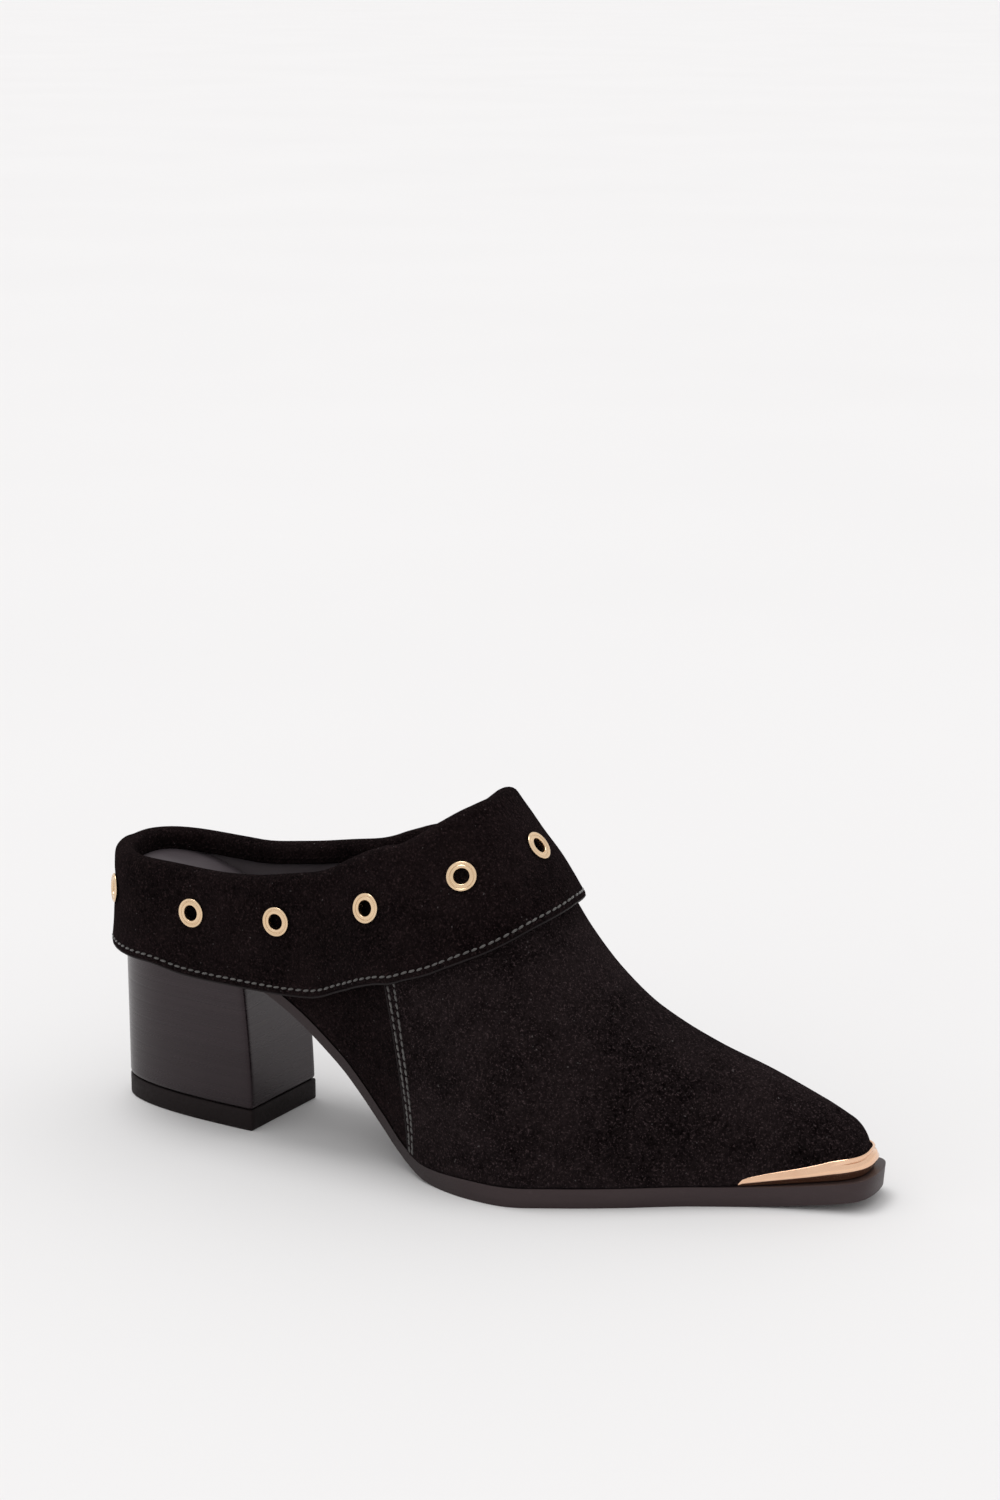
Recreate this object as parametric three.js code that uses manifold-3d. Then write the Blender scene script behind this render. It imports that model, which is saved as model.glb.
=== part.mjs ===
// A heeled mule for the right foot: pointed toe, stacked block heel, deep fold-over collar with eyelets.
// Millimetres. +X points to the toe, +Y to the inner side of the foot, +Z up.
// The origin is the centre of the heel tip's underside, on the floor.
import * as THREE from 'three';
import { mergeVertices } from 'three/addons/utils/BufferGeometryUtils.js';
import Module from 'manifold-3d';

const wasm = await Module();
wasm.setup();

// Driving dimensions
const soleLength = 262;
const ballWidth = 84;
const heelHeight = 76;
const instepHeight = 118;
const toeSpring = 4;

const waistThickness = 3.4;
const foreThickness = 6.4;
const sideLedge = 0.2;
const ballLedge = 1;
const toeLedge = 4.6;
const soleSideInset = 0.5;

const tipLength = 59.5;
const tipWidth = 37.5;
const tipThickness = 7;
const heelTurn = 6.9;
const heelCurve = 2.6;
const heelSpread = 1.6;
const breastPlace = 0.21;
const seatRadius = 24;
const seatCurve = 2.2;
const toeRadius = 7.5;
const toeCurve = 2.6;

const upperWall = 2;
const vampRaise = 0.9;
const lapFade = [22, 9];
const clearance = 0.35;
const joinDistance = 1e-3;

const insoleThickness = 3;
const insoleGap = 0.5;

const cuffDepth = 40;
const cuffThickness = 1.8;
const cuffFacing = 3;
const cuffClearance = 0.55;
const cuffFlare = 1.6;

const eyeletCount = 11;
const eyeletDiameter = 9.6;
const eyeletBore = 5;
const eyeletWall = 0.7;
const eyeletFlange = 0.8;

const rimHeight = 10;
const rimEndHeight = 1.4;
const rimThickness = 0.9;
const rimCrown = 0.5;

// Plan of the sole. place: share of the length from the back. spine: middle line.
// outer, inner: half widths. spine, outer and inner are shares of the ball width.
const planRows = [
  { place: 0.0, spine: 0.039, outer: 0.276, inner: 0.276 },
  { place: 0.12, spine: 0.0, outer: 0.279, inner: 0.279 },
  { place: 0.225, spine: -0.037, outer: 0.276, inner: 0.262 },
  { place: 0.345, spine: -0.049, outer: 0.286, inner: 0.25 },
  { place: 0.416, spine: -0.052, outer: 0.321, inner: 0.268 },
  { place: 0.497, spine: -0.05, outer: 0.455, inner: 0.345 },
  { place: 0.55, spine: -0.048, outer: 0.518, inner: 0.399 },
  { place: 0.6, spine: -0.041, outer: 0.542, inner: 0.433 },
  { place: 0.66, spine: -0.031, outer: 0.488, inner: 0.44 },
  { place: 0.72, spine: -0.02, outer: 0.414, inner: 0.413 },
  { place: 0.8, spine: -0.004, outer: 0.3, inner: 0.324 },
  { place: 0.88, spine: 0.012, outer: 0.219, inner: 0.226 },
  { place: 1.0, spine: 0.03, outer: 0.137, inner: 0.137 },
];

// Underside of the sole behind the ball. height: share of the heel height.
const archRows = [
  { place: 0.0, height: 1.0 },
  { place: 0.111, height: 0.886 },
  { place: 0.233, height: 0.674 },
  { place: 0.283, height: 0.574 },
  { place: 0.348, height: 0.392 },
  { place: 0.378, height: 0.287 },
  { place: 0.409, height: 0.171 },
  { place: 0.432, height: 0.092 },
  { place: 0.458, height: 0.038 },
  { place: 0.485, height: 0.008 },
  { place: 0.512, height: 0.0 },
];
const springStart = 0.82;

// Ridge of the last, from over the heel to the toe. rise: height over the sole's top,
// share of the instep rise. Behind the throat it stands clear of the collar, as on a last.
const ridgeRows = [
  { place: 0.08, rise: 0.6 },
  { place: 0.22, rise: 0.76 },
  { place: 0.34, rise: 0.923 },
  { place: 0.435, rise: 1.085 },
  { place: 0.485, rise: 1.09 },
  { place: 0.512, rise: 1.035 },
  { place: 0.53, rise: 0.985 },
  { place: 0.573, rise: 0.83 },
  { place: 0.62, rise: 0.646 },
  { place: 0.66, rise: 0.527 },
  { place: 0.71, rise: 0.4245 },
  { place: 0.78, rise: 0.342 },
  { place: 0.86, rise: 0.2745 },
  { place: 0.92, rise: 0.205 },
  { place: 0.944, rise: 0.171 },
];
const throatPlace = 0.53;

// Height of the collar's edge. rise as on the ridge.
const collarRows = [
  { place: 0.0, rise: 0.052 },
  { place: 0.14, rise: 0.142 },
  { place: 0.21, rise: 0.224 },
  { place: 0.317, rise: 0.437 },
  { place: 0.422, rise: 0.757 },
  { place: 0.485, rise: 0.93 },
  { place: 0.515, rise: 0.974 },
  { place: 0.53, rise: 0.985 },
];

// Sections of the last, from the toe to the back of the heel. foot: place along the feather line,
// 1 at the toe and 0 at the back. top: place of the section's top on the ridge.
// side: reach of the curve at the foot, share of the chord. lean: its slant outward, degrees.
// wide: reach of the curve across at the top, share of the ball width.
const sectionRows = [
  { foot: 1.0, top: 0.944, side: 0.4, lean: 6, wide: 0.08 },
  { foot: 0.95, top: 0.942, side: 0.4, lean: 6, wide: 0.092 },
  { foot: 0.9, top: 0.935, side: 0.4, lean: 4, wide: 0.105 },
  { foot: 0.85, top: 0.915, side: 0.4, lean: 2, wide: 0.113 },
  { foot: 0.76, top: 0.85, side: 0.38, lean: 2, wide: 0.133 },
  { foot: 0.68, top: 0.77, side: 0.36, lean: 4, wide: 0.19 },
  { foot: 0.61, top: 0.685, side: 0.34, lean: 4, wide: 0.26 },
  { foot: 0.555, top: 0.6, side: 0.34, lean: 2, wide: 0.3 },
  { foot: 0.52, top: 0.53, side: 0.34, lean: 0, wide: 0.325 },
  { foot: 0.508, top: 0.51, side: 0.33, lean: 0, wide: 0.33 },
  { foot: 0.494, top: 0.46, side: 0.32, lean: 1, wide: 0.33 },
  { foot: 0.475, top: 0.385, side: 0.31, lean: 3, wide: 0.32 },
  { foot: 0.43, top: 0.28, side: 0.3, lean: 6, wide: 0.3 },
  { foot: 0.36, top: 0.2, side: 0.3, lean: 7, wide: 0.285 },
  { foot: 0.26, top: 0.145, side: 0.3, lean: 6, wide: 0.28 },
  { foot: 0.14, top: 0.118, side: 0.3, lean: 5, wide: 0.28 },
  { foot: 0.0, top: 0.108, side: 0.3, lean: 4, wide: 0.28 },
];
const seamFoot = 0.475;
const seamGap = 0.02;
const rimEndRow = 4.3;
const toeFan = [0.9, 0.944];
const heelFan = [0.11, 0.22];

// The cuff along its way round. turn: 0 at the throat, 1 at the back. depth: share of the cuff's depth.
// eyelets: place of the eyelets down from the collar's edge, share of the cuff's depth.
const cuffRows = [
  { turn: 0.0, depth: 0.95, eyelets: 0.41 },
  { turn: 0.18, depth: 1.0, eyelets: 0.42 },
  { turn: 0.36, depth: 0.965, eyelets: 0.31 },
  { turn: 0.47, depth: 0.94, eyelets: 0.3 },
  { turn: 0.56, depth: 0.88, eyelets: 0.29 },
  { turn: 0.66, depth: 0.8, eyelets: 0.275 },
  { turn: 0.78, depth: 0.765, eyelets: 0.265 },
  { turn: 1.0, depth: 0.76, eyelets: 0.265 },
];

// Numbers of facets
const outlineSteps = 40;
const sectionSteps = 9;
const sectionDivisions = [3, 3, 2, 3, 3, 3, 3, 3, 4, 2, 2, 3, 3, 3, 3, 4];
const cuffSteps = 24;
const cuffCrowding = 0.45;
const cuffPathSteps = 8;
const cuffProbes = 26;
const heelSteps = 12;
const heelLevels = 5;
const rimSteps = 3;
const roundSides = 12;

const up = new THREE.Vector3(0, 0, 1);
const backX = -soleLength * 0.111;
const instepRise = instepHeight - foreThickness;

// Value of a column at a place in a table, on a smooth curve that does not overshoot its rows.
function read(rows, column, at, key = 'place') {
  const last = rows.length - 1;
  if (at <= rows[0][key]) return rows[0][column];
  if (at >= rows[last][key]) return rows[last][column];
  let i = 0;
  while (rows[i + 1][key] < at) i += 1;
  const slope = (k) => (rows[k + 1][column] - rows[k][column]) / (rows[k + 1][key] - rows[k][key]);
  const tangent = (k) => {
    if (k === 0) return slope(0);
    if (k === last) return slope(last - 1);
    const [a, b] = [slope(k - 1), slope(k)];
    return a * b <= 0 ? 0 : (2 * a * b) / (a + b);
  };
  const width = rows[i + 1][key] - rows[i][key];
  const t = (at - rows[i][key]) / width;
  const [y0, y1] = [rows[i][column], rows[i + 1][column]];
  const [m0, m1] = [tangent(i) * width, tangent(i + 1) * width];
  const [t2, t3] = [t * t, t * t * t];
  return y0 * (2 * t3 - 3 * t2 + 1) + m0 * (t3 - 2 * t2 + t) + y1 * (3 * t2 - 2 * t3) + m1 * (t3 - t2);
}

const lerp = THREE.MathUtils.lerp;
const placeX = (place) => backX + place * soleLength;
const placeOf = (x) => (x - backX) / soleLength;
const spineY = (x) => read(planRows, 'spine', placeOf(x)) * ballWidth;

function ledge(place) {
  const ball = THREE.MathUtils.smoothstep(place, 0.45, 0.6);
  const toe = THREE.MathUtils.smoothstep(place, 0.8, 0.97);
  return lerp(lerp(sideLedge, ballLedge, ball), toeLedge, toe);
}

// Share of the half width left at a distance from a rounded end
function roundEnd(distance, radius, curve) {
  if (distance >= radius) return 1;
  return (1 - ((radius - distance) / radius) ** curve) ** (1 / curve);
}

function underside(x) {
  const place = placeOf(x);
  const lift = Math.max(0, (place - springStart) / (1 - springStart));
  return read(archRows, 'height', place) * heelHeight + toeSpring * lift ** 2;
}

function smoothTop(x) {
  const fore = THREE.MathUtils.smoothstep(placeOf(x), 0.4, 0.56);
  const slope = (underside(x + 1) - underside(x - 1)) / 2;
  return underside(x) + lerp(waistThickness, foreThickness, fore) * Math.hypot(1, slope);
}

// Height of the sole's top on its facets, which run between the stops of its outline
function soleTop(x) {
  const place = THREE.MathUtils.clamp(placeOf(x), 0, 1);
  const stop = Math.min(Math.floor((Math.acos(1 - 2 * place) / Math.PI) * outlineSteps), outlineSteps - 1);
  const stopX = (i) => placeX((1 - Math.cos((Math.PI * i) / outlineSteps)) / 2);
  const [from, to] = [stopX(stop), stopX(stop + 1)];
  return lerp(smoothTop(from), smoothTop(to), (x - from) / (to - from));
}

// Point of the sole's outline. along: 0 at the back, 1 at the toe. side: -1 outer, 1 inner.
function outline(along, side, inset) {
  const share = (1 - Math.cos(Math.PI * along)) / 2;
  const rear = backX + inset(0);
  const front = backX + soleLength - inset(1);
  const x = lerp(rear, front, share);
  const place = placeOf(x);
  const edge = read(planRows, side < 0 ? 'outer' : 'inner', place) * ballWidth - inset(place);
  const ends = roundEnd(x - rear, seatRadius, seatCurve) * roundEnd(front - x, toeRadius, toeCurve);
  return new THREE.Vector2(x, spineY(x) + side * edge * ends);
}

// Solid from triangles: points that coincide are joined, and the triangles that this
// folds flat or lays back to back go
function solidFrom(points, triangles) {
  const geometry = new THREE.BufferGeometry();
  const numbers = points.flatMap((p) => [p.x, p.y, p.z]);
  geometry.setAttribute('position', new THREE.Float32BufferAttribute(numbers, 3));
  geometry.setIndex(triangles);
  const merged = mergeVertices(geometry, joinDistance);
  const index = merged.index.array;
  const faces = new Map();
  for (let i = 0; i < index.length; i += 3) {
    const face = [index[i], index[i + 1], index[i + 2]];
    const key = [...face].sort((a, b) => a - b).join();
    if (new Set(face).size < 3) continue;
    if (faces.has(key)) faces.delete(key);
    else faces.set(key, face);
  }
  merged.setIndex([...faces.values()].flat());
  return merged;
}

// Sheet of triangles through rows of points. closed: each row joins its own start.
function sheet(rows, closed) {
  const points = rows.flat();
  const count = rows[0].length;
  const triangles = [];
  for (let i = 0; i + 1 < rows.length; i += 1) {
    for (let j = 0; j < (closed ? count : count - 1); j += 1) {
      const next = (j + 1) % count;
      const [a, b] = [i * count + j, i * count + next];
      const [c, d] = [a + count, b + count];
      triangles.push(a, b, d, a, d, c);
    }
  }
  return solidFrom(points, triangles);
}

// Closed solid through rings of points, with flat strips across the first and the last ring.
// Each ring runs from the toe down one side to the back and up the other.
function loft(rings) {
  const count = rings[0].length;
  const points = rings.flat();
  const triangles = [];
  for (let i = 0; i + 1 < rings.length; i += 1) {
    for (let j = 0; j < count; j += 1) {
      const next = (j + 1) % count;
      const [a, b] = [i * count + j, i * count + next];
      triangles.push(a, b, b + count, a, b + count, a + count);
    }
  }
  const top = (rings.length - 1) * count;
  for (let j = 0; j < count / 2; j += 1) {
    const [a, b] = [j, j + 1];
    const [c, d] = [(count - j) % count, count - j - 1];
    triangles.push(a, c, b, b, c, d);
    triangles.push(top + a, top + b, top + c, top + b, top + d, top + c);
  }
  return solidFrom(points, triangles);
}

function toManifold(geometry) {
  const vertProperties = new Float32Array(geometry.attributes.position.array);
  const triVerts = new Uint32Array(geometry.index.array);
  return new wasm.Manifold(new wasm.Mesh({ numProp: 3, vertProperties, triVerts }));
}

function fromManifold(solid) {
  const mesh = solid.getMesh();
  const geometry = new THREE.BufferGeometry();
  geometry.setAttribute('position', new THREE.BufferAttribute(new Float32Array(mesh.vertProperties), 3));
  geometry.setIndex([...mesh.triVerts]);
  return geometry;
}

// Ring of points at a height: toe, inner side, back, outer side
function ringOf(point, height) {
  const ring = [];
  const add = (along, side) => {
    const p = point(along, side);
    ring.push(new THREE.Vector3(p.x, p.y, height(p.x)));
  };
  for (let i = 0; i < outlineSteps; i += 1) add(1 - i / outlineSteps, 1);
  for (let i = 0; i < outlineSteps; i += 1) add(i / outlineSteps, -1);
  return ring;
}

// Outsole
function outsole() {
  const bottom = ringOf((along, side) => outline(along, side, () => soleSideInset), underside);
  const top = ringOf((along, side) => outline(along, side, () => 0), smoothTop);
  return loft([bottom, top]);
}

// Heel and its tip: D-shaped levels with a flat breast, spreading from the floor to the sole's outline
function heelLevel(share, height) {
  const turn = THREE.MathUtils.degToRad(-heelTurn);
  const spread = share ** heelSpread;
  const breast = Math.acos(1 - 2 * breastPlace) / Math.PI;
  const level = [];
  for (let i = -heelSteps; i <= heelSteps; i += 1) {
    const round = Math.abs(i) / heelSteps;
    const angle = (Math.PI / 2) * round;
    const x = tipLength / 2 - Math.cos(angle) ** (2 / heelCurve) * tipLength;
    const y = Math.sign(i) * Math.sin(angle) ** (2 / heelCurve) * (tipWidth / 2);
    const p = new THREE.Vector3(x, y, 0).applyAxisAngle(up, turn);
    const seat = outline(round * breast, Math.sign(i), () => soleSideInset);
    p.lerp(new THREE.Vector3(seat.x, seat.y, 0), spread);
    p.z = height(p.x);
    level.push(p);
  }
  return level;
}

function fanSolid(levels) {
  const count = levels[0].length;
  const points = levels.flat();
  const triangles = [];
  for (let i = 0; i + 1 < levels.length; i += 1) {
    for (let j = 0; j < count; j += 1) {
      const next = (j + 1) % count;
      const [a, b] = [i * count + j, i * count + next];
      triangles.push(a, b + count, b, a, a + count, b + count);
    }
  }
  const top = (levels.length - 1) * count;
  for (let j = 0; 2 * j < count - 2; j += 1) {
    const [a, b, c, d] = [j, j + 1, count - 1 - j, count - 2 - j];
    triangles.push(a, b, c);
    triangles.push(top + a, top + c, top + b);
    if (b < d) {
      triangles.push(b, d, c);
      triangles.push(top + b, top + c, top + d);
    }
  }
  return solidFrom(points, triangles);
}

function heelTip() {
  return fanSolid([heelLevel(0, () => 0), heelLevel(0, () => tipThickness)]);
}

function heel() {
  const levels = [];
  for (let i = 0; i <= heelLevels; i += 1) {
    const share = i / heelLevels;
    levels.push(heelLevel(share, (x) => lerp(tipThickness + clearance, underside(x) - clearance, share)));
  }
  return fanSolid(levels);
}

// Upper
const featherPoint = (along, side) => outline(along, side, ledge);

const ridgeHeight = (x) => soleTop(x) + read(ridgeRows, 'rise', placeOf(x)) * instepRise;
const collarHeight = (x) => soleTop(x) + read(collarRows, 'rise', placeOf(x)) * instepRise;

// Outward direction in plan of the feather line
function featherOut(along, side) {
  const step = 1e-3;
  const a = featherPoint(Math.max(0, along - step), side);
  const b = featherPoint(Math.min(1, along + step), side);
  const tangent = b.sub(a).normalize().multiplyScalar(side);
  return new THREE.Vector3(-tangent.y, tangent.x, 0);
}

// Curve of one section of the last, from the feather line to the ridge
function sectionCurve(row, side) {
  const value = (column) => read(sectionTable, column, row, 'row');
  const foot = featherPoint(value('foot'), side);
  const start = new THREE.Vector3(foot.x, foot.y, soleTop(foot.x) + clearance);
  const x = placeX(value('top'));
  const end = new THREE.Vector3(x, spineY(x), ridgeHeight(x));
  const chord = start.distanceTo(end);
  const lean = THREE.MathUtils.degToRad(value('lean'));
  const straight = THREE.MathUtils.smoothstep(value('top'), ...heelFan)
    * (1 - THREE.MathUtils.smoothstep(value('top'), ...toeFan));
  const across = new THREE.Vector3(0, side, 0);
  const topOut = new THREE.Vector3(foot.x - end.x, foot.y - end.y, 0).normalize().lerp(across, straight).normalize();
  const slope = (ridgeHeight(x + 1) - ridgeHeight(x - 1)) / 2;
  topOut.z = slope * topOut.x;
  const first = start.clone()
    .addScaledVector(featherOut(value('foot'), side), value('side') * chord * Math.sin(lean))
    .addScaledVector(up, value('side') * chord * Math.cos(lean));
  const second = end.clone().addScaledVector(topOut, value('wide') * ballWidth);
  return new THREE.CubicBezierCurve3(start, first, second, end);
}

// Share of a section's curve up to the collar's edge
function edgeShare(row, curve) {
  if (row <= throatRow) return 1;
  let [low, high] = [0, 1];
  for (let i = 0; i < 40; i += 1) {
    const middle = (low + high) / 2;
    const p = curve.getPoint(middle);
    if (p.z < collarHeight(p.x)) low = middle;
    else high = middle;
  }
  return low;
}

const sectionTable = sectionRows.map((row, i) => ({ row: i, ...row }));
const throatRow = sectionRows.findIndex((row) => row.top === throatPlace);

function sectionPlaces() {
  const seamRow = sectionRows.findIndex((row) => row.foot === seamFoot);
  const places = [];
  sectionDivisions.forEach((count, i) => {
    for (let k = 0; k < count; k += 1) places.push(i + (k / count) ** (i === throatRow ? 2 : 1));
    if (i + 1 === seamRow) places.push(seamRow - seamGap);
  });
  places.push(sectionRows.length - 1);
  return { places, seamRow };
}

function upperSheet() {
  const { places, seamRow } = sectionPlaces();
  const columns = [];
  places.forEach((place) => columns.push({ place, side: 1 }));
  places.slice(1, -1).reverse().forEach((place) => columns.push({ place, side: -1 }));
  const curves = columns.map(({ place, side }) => sectionCurve(place, side));
  const rows = [];
  const shares = curves.map((curve, j) => edgeShare(columns[j].place, curve));
  for (let i = 0; i <= sectionSteps; i += 1) {
    rows.push(curves.map((curve, j) => curve.getPoint((shares[j] * i) / sectionSteps)));
  }
  return { rows, columns, seamRow };
}

const upperFrame = upperSheet();
const upperSkin = sheet(upperFrame.rows, true);

// Normals of the skin, looked up by place
function skinNormals() {
  upperSkin.computeVertexNormals();
  const { position, normal } = upperSkin.attributes;
  const key = (p) => `${p.x.toFixed(2)} ${p.y.toFixed(2)} ${p.z.toFixed(2)}`;
  const normals = new Map();
  for (let i = 0; i < position.count; i += 1) {
    const p = new THREE.Vector3().fromBufferAttribute(position, i);
    normals.set(key(p), new THREE.Vector3().fromBufferAttribute(normal, i));
  }
  return (p) => normals.get(key(p)).clone();
}

// The wall is raised where the vamp laps over the quarter, in front of the seam.
// The lap thins out under the cuff, towards the collar's edge.
function upper() {
  const normalAt = skinNormals();
  const shifted = (distance) => upperFrame.rows.map((row, i) => row.map((p, j) => {
    const n = normalAt(p);
    if (i === 0) n.setZ(0).normalize();
    return p.clone().addScaledVector(n, distance(p, upperFrame.columns[j].place));
  }));
  const lap = (p, place) => {
    if (place >= upperFrame.seamRow) return 0;
    const edge = collarHeight(p.x);
    return vampRaise * (1 - THREE.MathUtils.smoothstep(p.z, edge - lapFade[0], edge - lapFade[1]));
  };
  const outer = shifted(lap);
  return { skin: sheet(outer, true), solid: shell(outer, shifted(() => -upperWall)) };
}

// Closed wall between two sheets of the same rows, the first facing outward. The strips along its
// last row are cut alike on both sides, so they cancel out where the sides meet.
function shell(outer, inner) {
  const count = outer[0].length;
  const points = [...outer.flat(), ...inner.flat()];
  const offset = outer.flat().length;
  const triangles = [];
  const rim = (outer.length - 1) * count;
  for (let j = 0; j < count; j += 1) {
    const next = (j + 1) % count;
    for (let i = 0; i + 1 < outer.length; i += 1) {
      const [a, b] = [i * count + j, i * count + next];
      const [c, d] = [a + count, b + count];
      triangles.push(a, b, d, a, d, c);
      triangles.push(a + offset, d + offset, b + offset, a + offset, c + offset, d + offset);
    }
    triangles.push(j, j + offset, next + offset, j, next + offset, next);
    const [e, f, g, h] = [rim + j, rim + next, rim + next + offset, rim + j + offset];
    if (2 * j < count) triangles.push(e, f, g, e, g, h);
    else triangles.push(e, f, h, f, g, h);
  }
  return solidFrom(points, triangles);
}

const upperForm = upper();
const upperTarget = new THREE.Mesh(upperForm.skin, new THREE.MeshStandardMaterial({ side: THREE.DoubleSide }));

// Point of the upper's outer side, moved out along its normal. share: 0 at the foot, 1 at the ridge.
function formPoint(row, side, share, distance) {
  const step = 1e-3;
  const at = (r, t) => sectionCurve(r, side).getPoint(t);
  const alongRow = at(row + step, share).sub(at(Math.max(0, row - step), share));
  const alongCurve = at(row, share + step).sub(at(row, share));
  if (row < step) alongRow.set(0, side, 0);
  const normal = alongRow.cross(alongCurve).multiplyScalar(side);
  if (normal.dot(featherOut(read(sectionTable, 'foot', row, 'row'), side)) < 0) normal.negate();
  if (share === 0) normal.setZ(0);
  return at(row, share).addScaledVector(normal.normalize(), distance);
}

// Toe rim: a crowned metal strip round the toe, tapering towards its ends
function toeRim() {
  const near = upperFrame.columns.filter(({ place }) => place < rimEndRow);
  const back = near.findIndex(({ side }) => side < 0);
  const end = (side) => ({ place: rimEndRow, side });
  const columns = [end(-1), ...near.slice(back), ...near.slice(0, back), end(1)];
  const strip = (lift) => {
    const rows = [];
    for (let k = 0; k <= rimSteps; k += 1) {
      rows.push(columns.map(({ place: row, side }) => {
        const height = lerp(rimEndHeight, rimHeight, (1 - row / rimEndRow) ** 0.6);
        const curve = sectionCurve(row, side);
        const rise = (share) => curve.getPoint(share).z - curve.getPoint(0).z;
        const share = solve(rise, (height * k) / rimSteps, 0, 0.6);
        const crown = Math.sin((Math.PI * k) / rimSteps) * rimCrown;
        const p = formPoint(row, side, share, vampRaise + clearance + (lift > 0 ? lift + crown : 0));
        p.z = Math.max(p.z, soleTop(p.x) + clearance);
        return p;
      }));
    }
    return rows;
  };
  return patch(strip(rimThickness), strip(0));
}

// Argument at which a rising function reaches a value
function solve(rising, value, from, to) {
  let [low, high] = [from, to];
  for (let i = 0; i < 40; i += 1) {
    const middle = (low + high) / 2;
    if (rising(middle) < value) low = middle;
    else high = middle;
  }
  return low;
}

// Closed wall between two open sheets of the same rows, the first facing outward
function patch(outer, inner) {
  const count = outer[0].length;
  const last = outer.length - 1;
  const offset = count * outer.length;
  const triangles = [];
  const quad = (a, b, c, d) => triangles.push(a, b, c, a, c, d);
  for (let i = 0; i < last; i += 1) {
    for (let j = 0; j + 1 < count; j += 1) {
      const a = i * count + j;
      quad(a, a + 1, a + 1 + count, a + count);
      quad(a + offset, a + count + offset, a + 1 + count + offset, a + 1 + offset);
    }
    const [left, right] = [i * count, i * count + count - 1];
    quad(left, left + count, left + count + offset, left + offset);
    quad(right, right + offset, right + count + offset, right + count);
  }
  for (let j = 0; j + 1 < count; j += 1) {
    const top = last * count + j;
    quad(j, j + offset, j + 1 + offset, j + 1);
    quad(top, top + 1, top + 1 + offset, top + offset);
  }
  return solidFrom([...outer.flat(), ...inner.flat()], triangles);
}

// Insole: a board that fills the upper's foot
function insole() {
  const edge = (along, side) => {
    const p = featherPoint(along, side);
    return p.addScaledVector(featherOut(along, side), -upperWall - insoleGap);
  };
  const bottom = ringOf(edge, (x) => soleTop(x) + clearance);
  const top = ringOf(edge, (x) => soleTop(x) + clearance + insoleThickness);
  return loft([bottom, top]);
}

// The collar's edge once round, from the throat over the inner side to the back and home.
// Places on it go by length, 0 to 1.
const edgeLine = (() => {
  const fine = 60;
  const rows = sectionRows.length - 1 - throatRow;
  const stops = [];
  for (let i = 0; i < 2 * fine; i += 1) {
    const side = i <= fine ? 1 : -1;
    const share = 1 - Math.abs(1 - i / fine);
    const row = throatRow + rows * share ** 1.5;
    const curve = sectionCurve(row, side);
    stops.push(curve.getPoint(edgeShare(row, curve)));
  }
  return new THREE.CatmullRomCurve3(stops, true);
})();

// Section of the cuff at a place round the collar: the way over the upper, down from the edge
function cuffSection(round) {
  const around = round - Math.floor(round);
  const edge = edgeLine.getPointAt(around);
  const tangent = edgeLine.getTangentAt(around);
  const out = new THREE.Vector3(tangent.y, -tangent.x, 0).normalize();
  const turn = 1 - Math.abs(1 - 2 * around);
  const depth = cuffDepth * read(cuffRows, 'depth', turn, 'turn');
  const eyelets = cuffDepth * read(cuffRows, 'eyelets', turn, 'turn');
  const ray = new THREE.Raycaster();
  const reach = [0];
  const drop = depth / cuffProbes;
  for (let i = 1; i <= cuffProbes + 4; i += 1) {
    const from = edge.clone().addScaledVector(out, ballWidth).addScaledVector(up, -i * drop);
    ray.set(from, out.clone().negate());
    const [hit] = ray.intersectObject(upperTarget);
    reach.push(Math.max(reach[i - 1], hit ? ballWidth - hit.distance : 0));
  }
  const line = reach.map((r, i) => new THREE.Vector2(r, -i * drop));
  const lengths = [0];
  for (let i = 1; i < line.length; i += 1) lengths.push(lengths[i - 1] + line[i].distanceTo(line[i - 1]));
  const place = (across, height) => edge.clone().addScaledVector(out, across).addScaledVector(up, height);
  const start = line[3].clone().normalize();
  const away = new THREE.Vector2(-start.y, start.x);
  const at = (distance) => {
    let i = 1;
    while (i < line.length - 1 && lengths[i] < distance) i += 1;
    const share = (distance - lengths[i - 1]) / (lengths[i] - lengths[i - 1]);
    const p = line[i - 1].clone().lerp(line[i], share);
    const [before, after] = [line[Math.max(0, i - 3)], line[Math.min(line.length - 1, i + 2)]];
    const along = after.clone().sub(before).normalize();
    const gap = cuffClearance + cuffFlare * (distance / depth);
    return place(p.x - along.y * gap, p.y + along.x * gap);
  };
  return { depth, eyelets, start, away, place, at };
}

// Inner side of the cuff at one place: up the lining, over the edge and down outside
function cuffPath(round) {
  const { depth, start, away, place, at } = cuffSection(round);
  const bend = upperWall / 2 + cuffClearance;
  const centre = away.clone().multiplyScalar(-upperWall / 2);
  const from = (across, along) => {
    const p = centre.clone().addScaledVector(away, across).addScaledVector(start, along);
    return place(p.x, p.y);
  };
  const path = [from(-bend, cuffFacing), from(-bend, cuffFacing / 2), from(-bend, 0)];
  for (let i = 1; i < 4; i += 1) {
    const angle = (Math.PI * i) / 4;
    path.push(from(-bend * Math.cos(angle), -bend * Math.sin(angle)));
  }
  for (let i = 0; i <= cuffPathSteps; i += 1) path.push(at((depth * i) / cuffPathSteps));
  return path;
}

// Places round the cuff, closer together at the throat and at the back, where it bends
function cuffStop(i) {
  const share = i / cuffSteps;
  return (share - (cuffCrowding * Math.sin(2 * Math.PI * share)) / (2 * Math.PI)) / 2;
}

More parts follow.
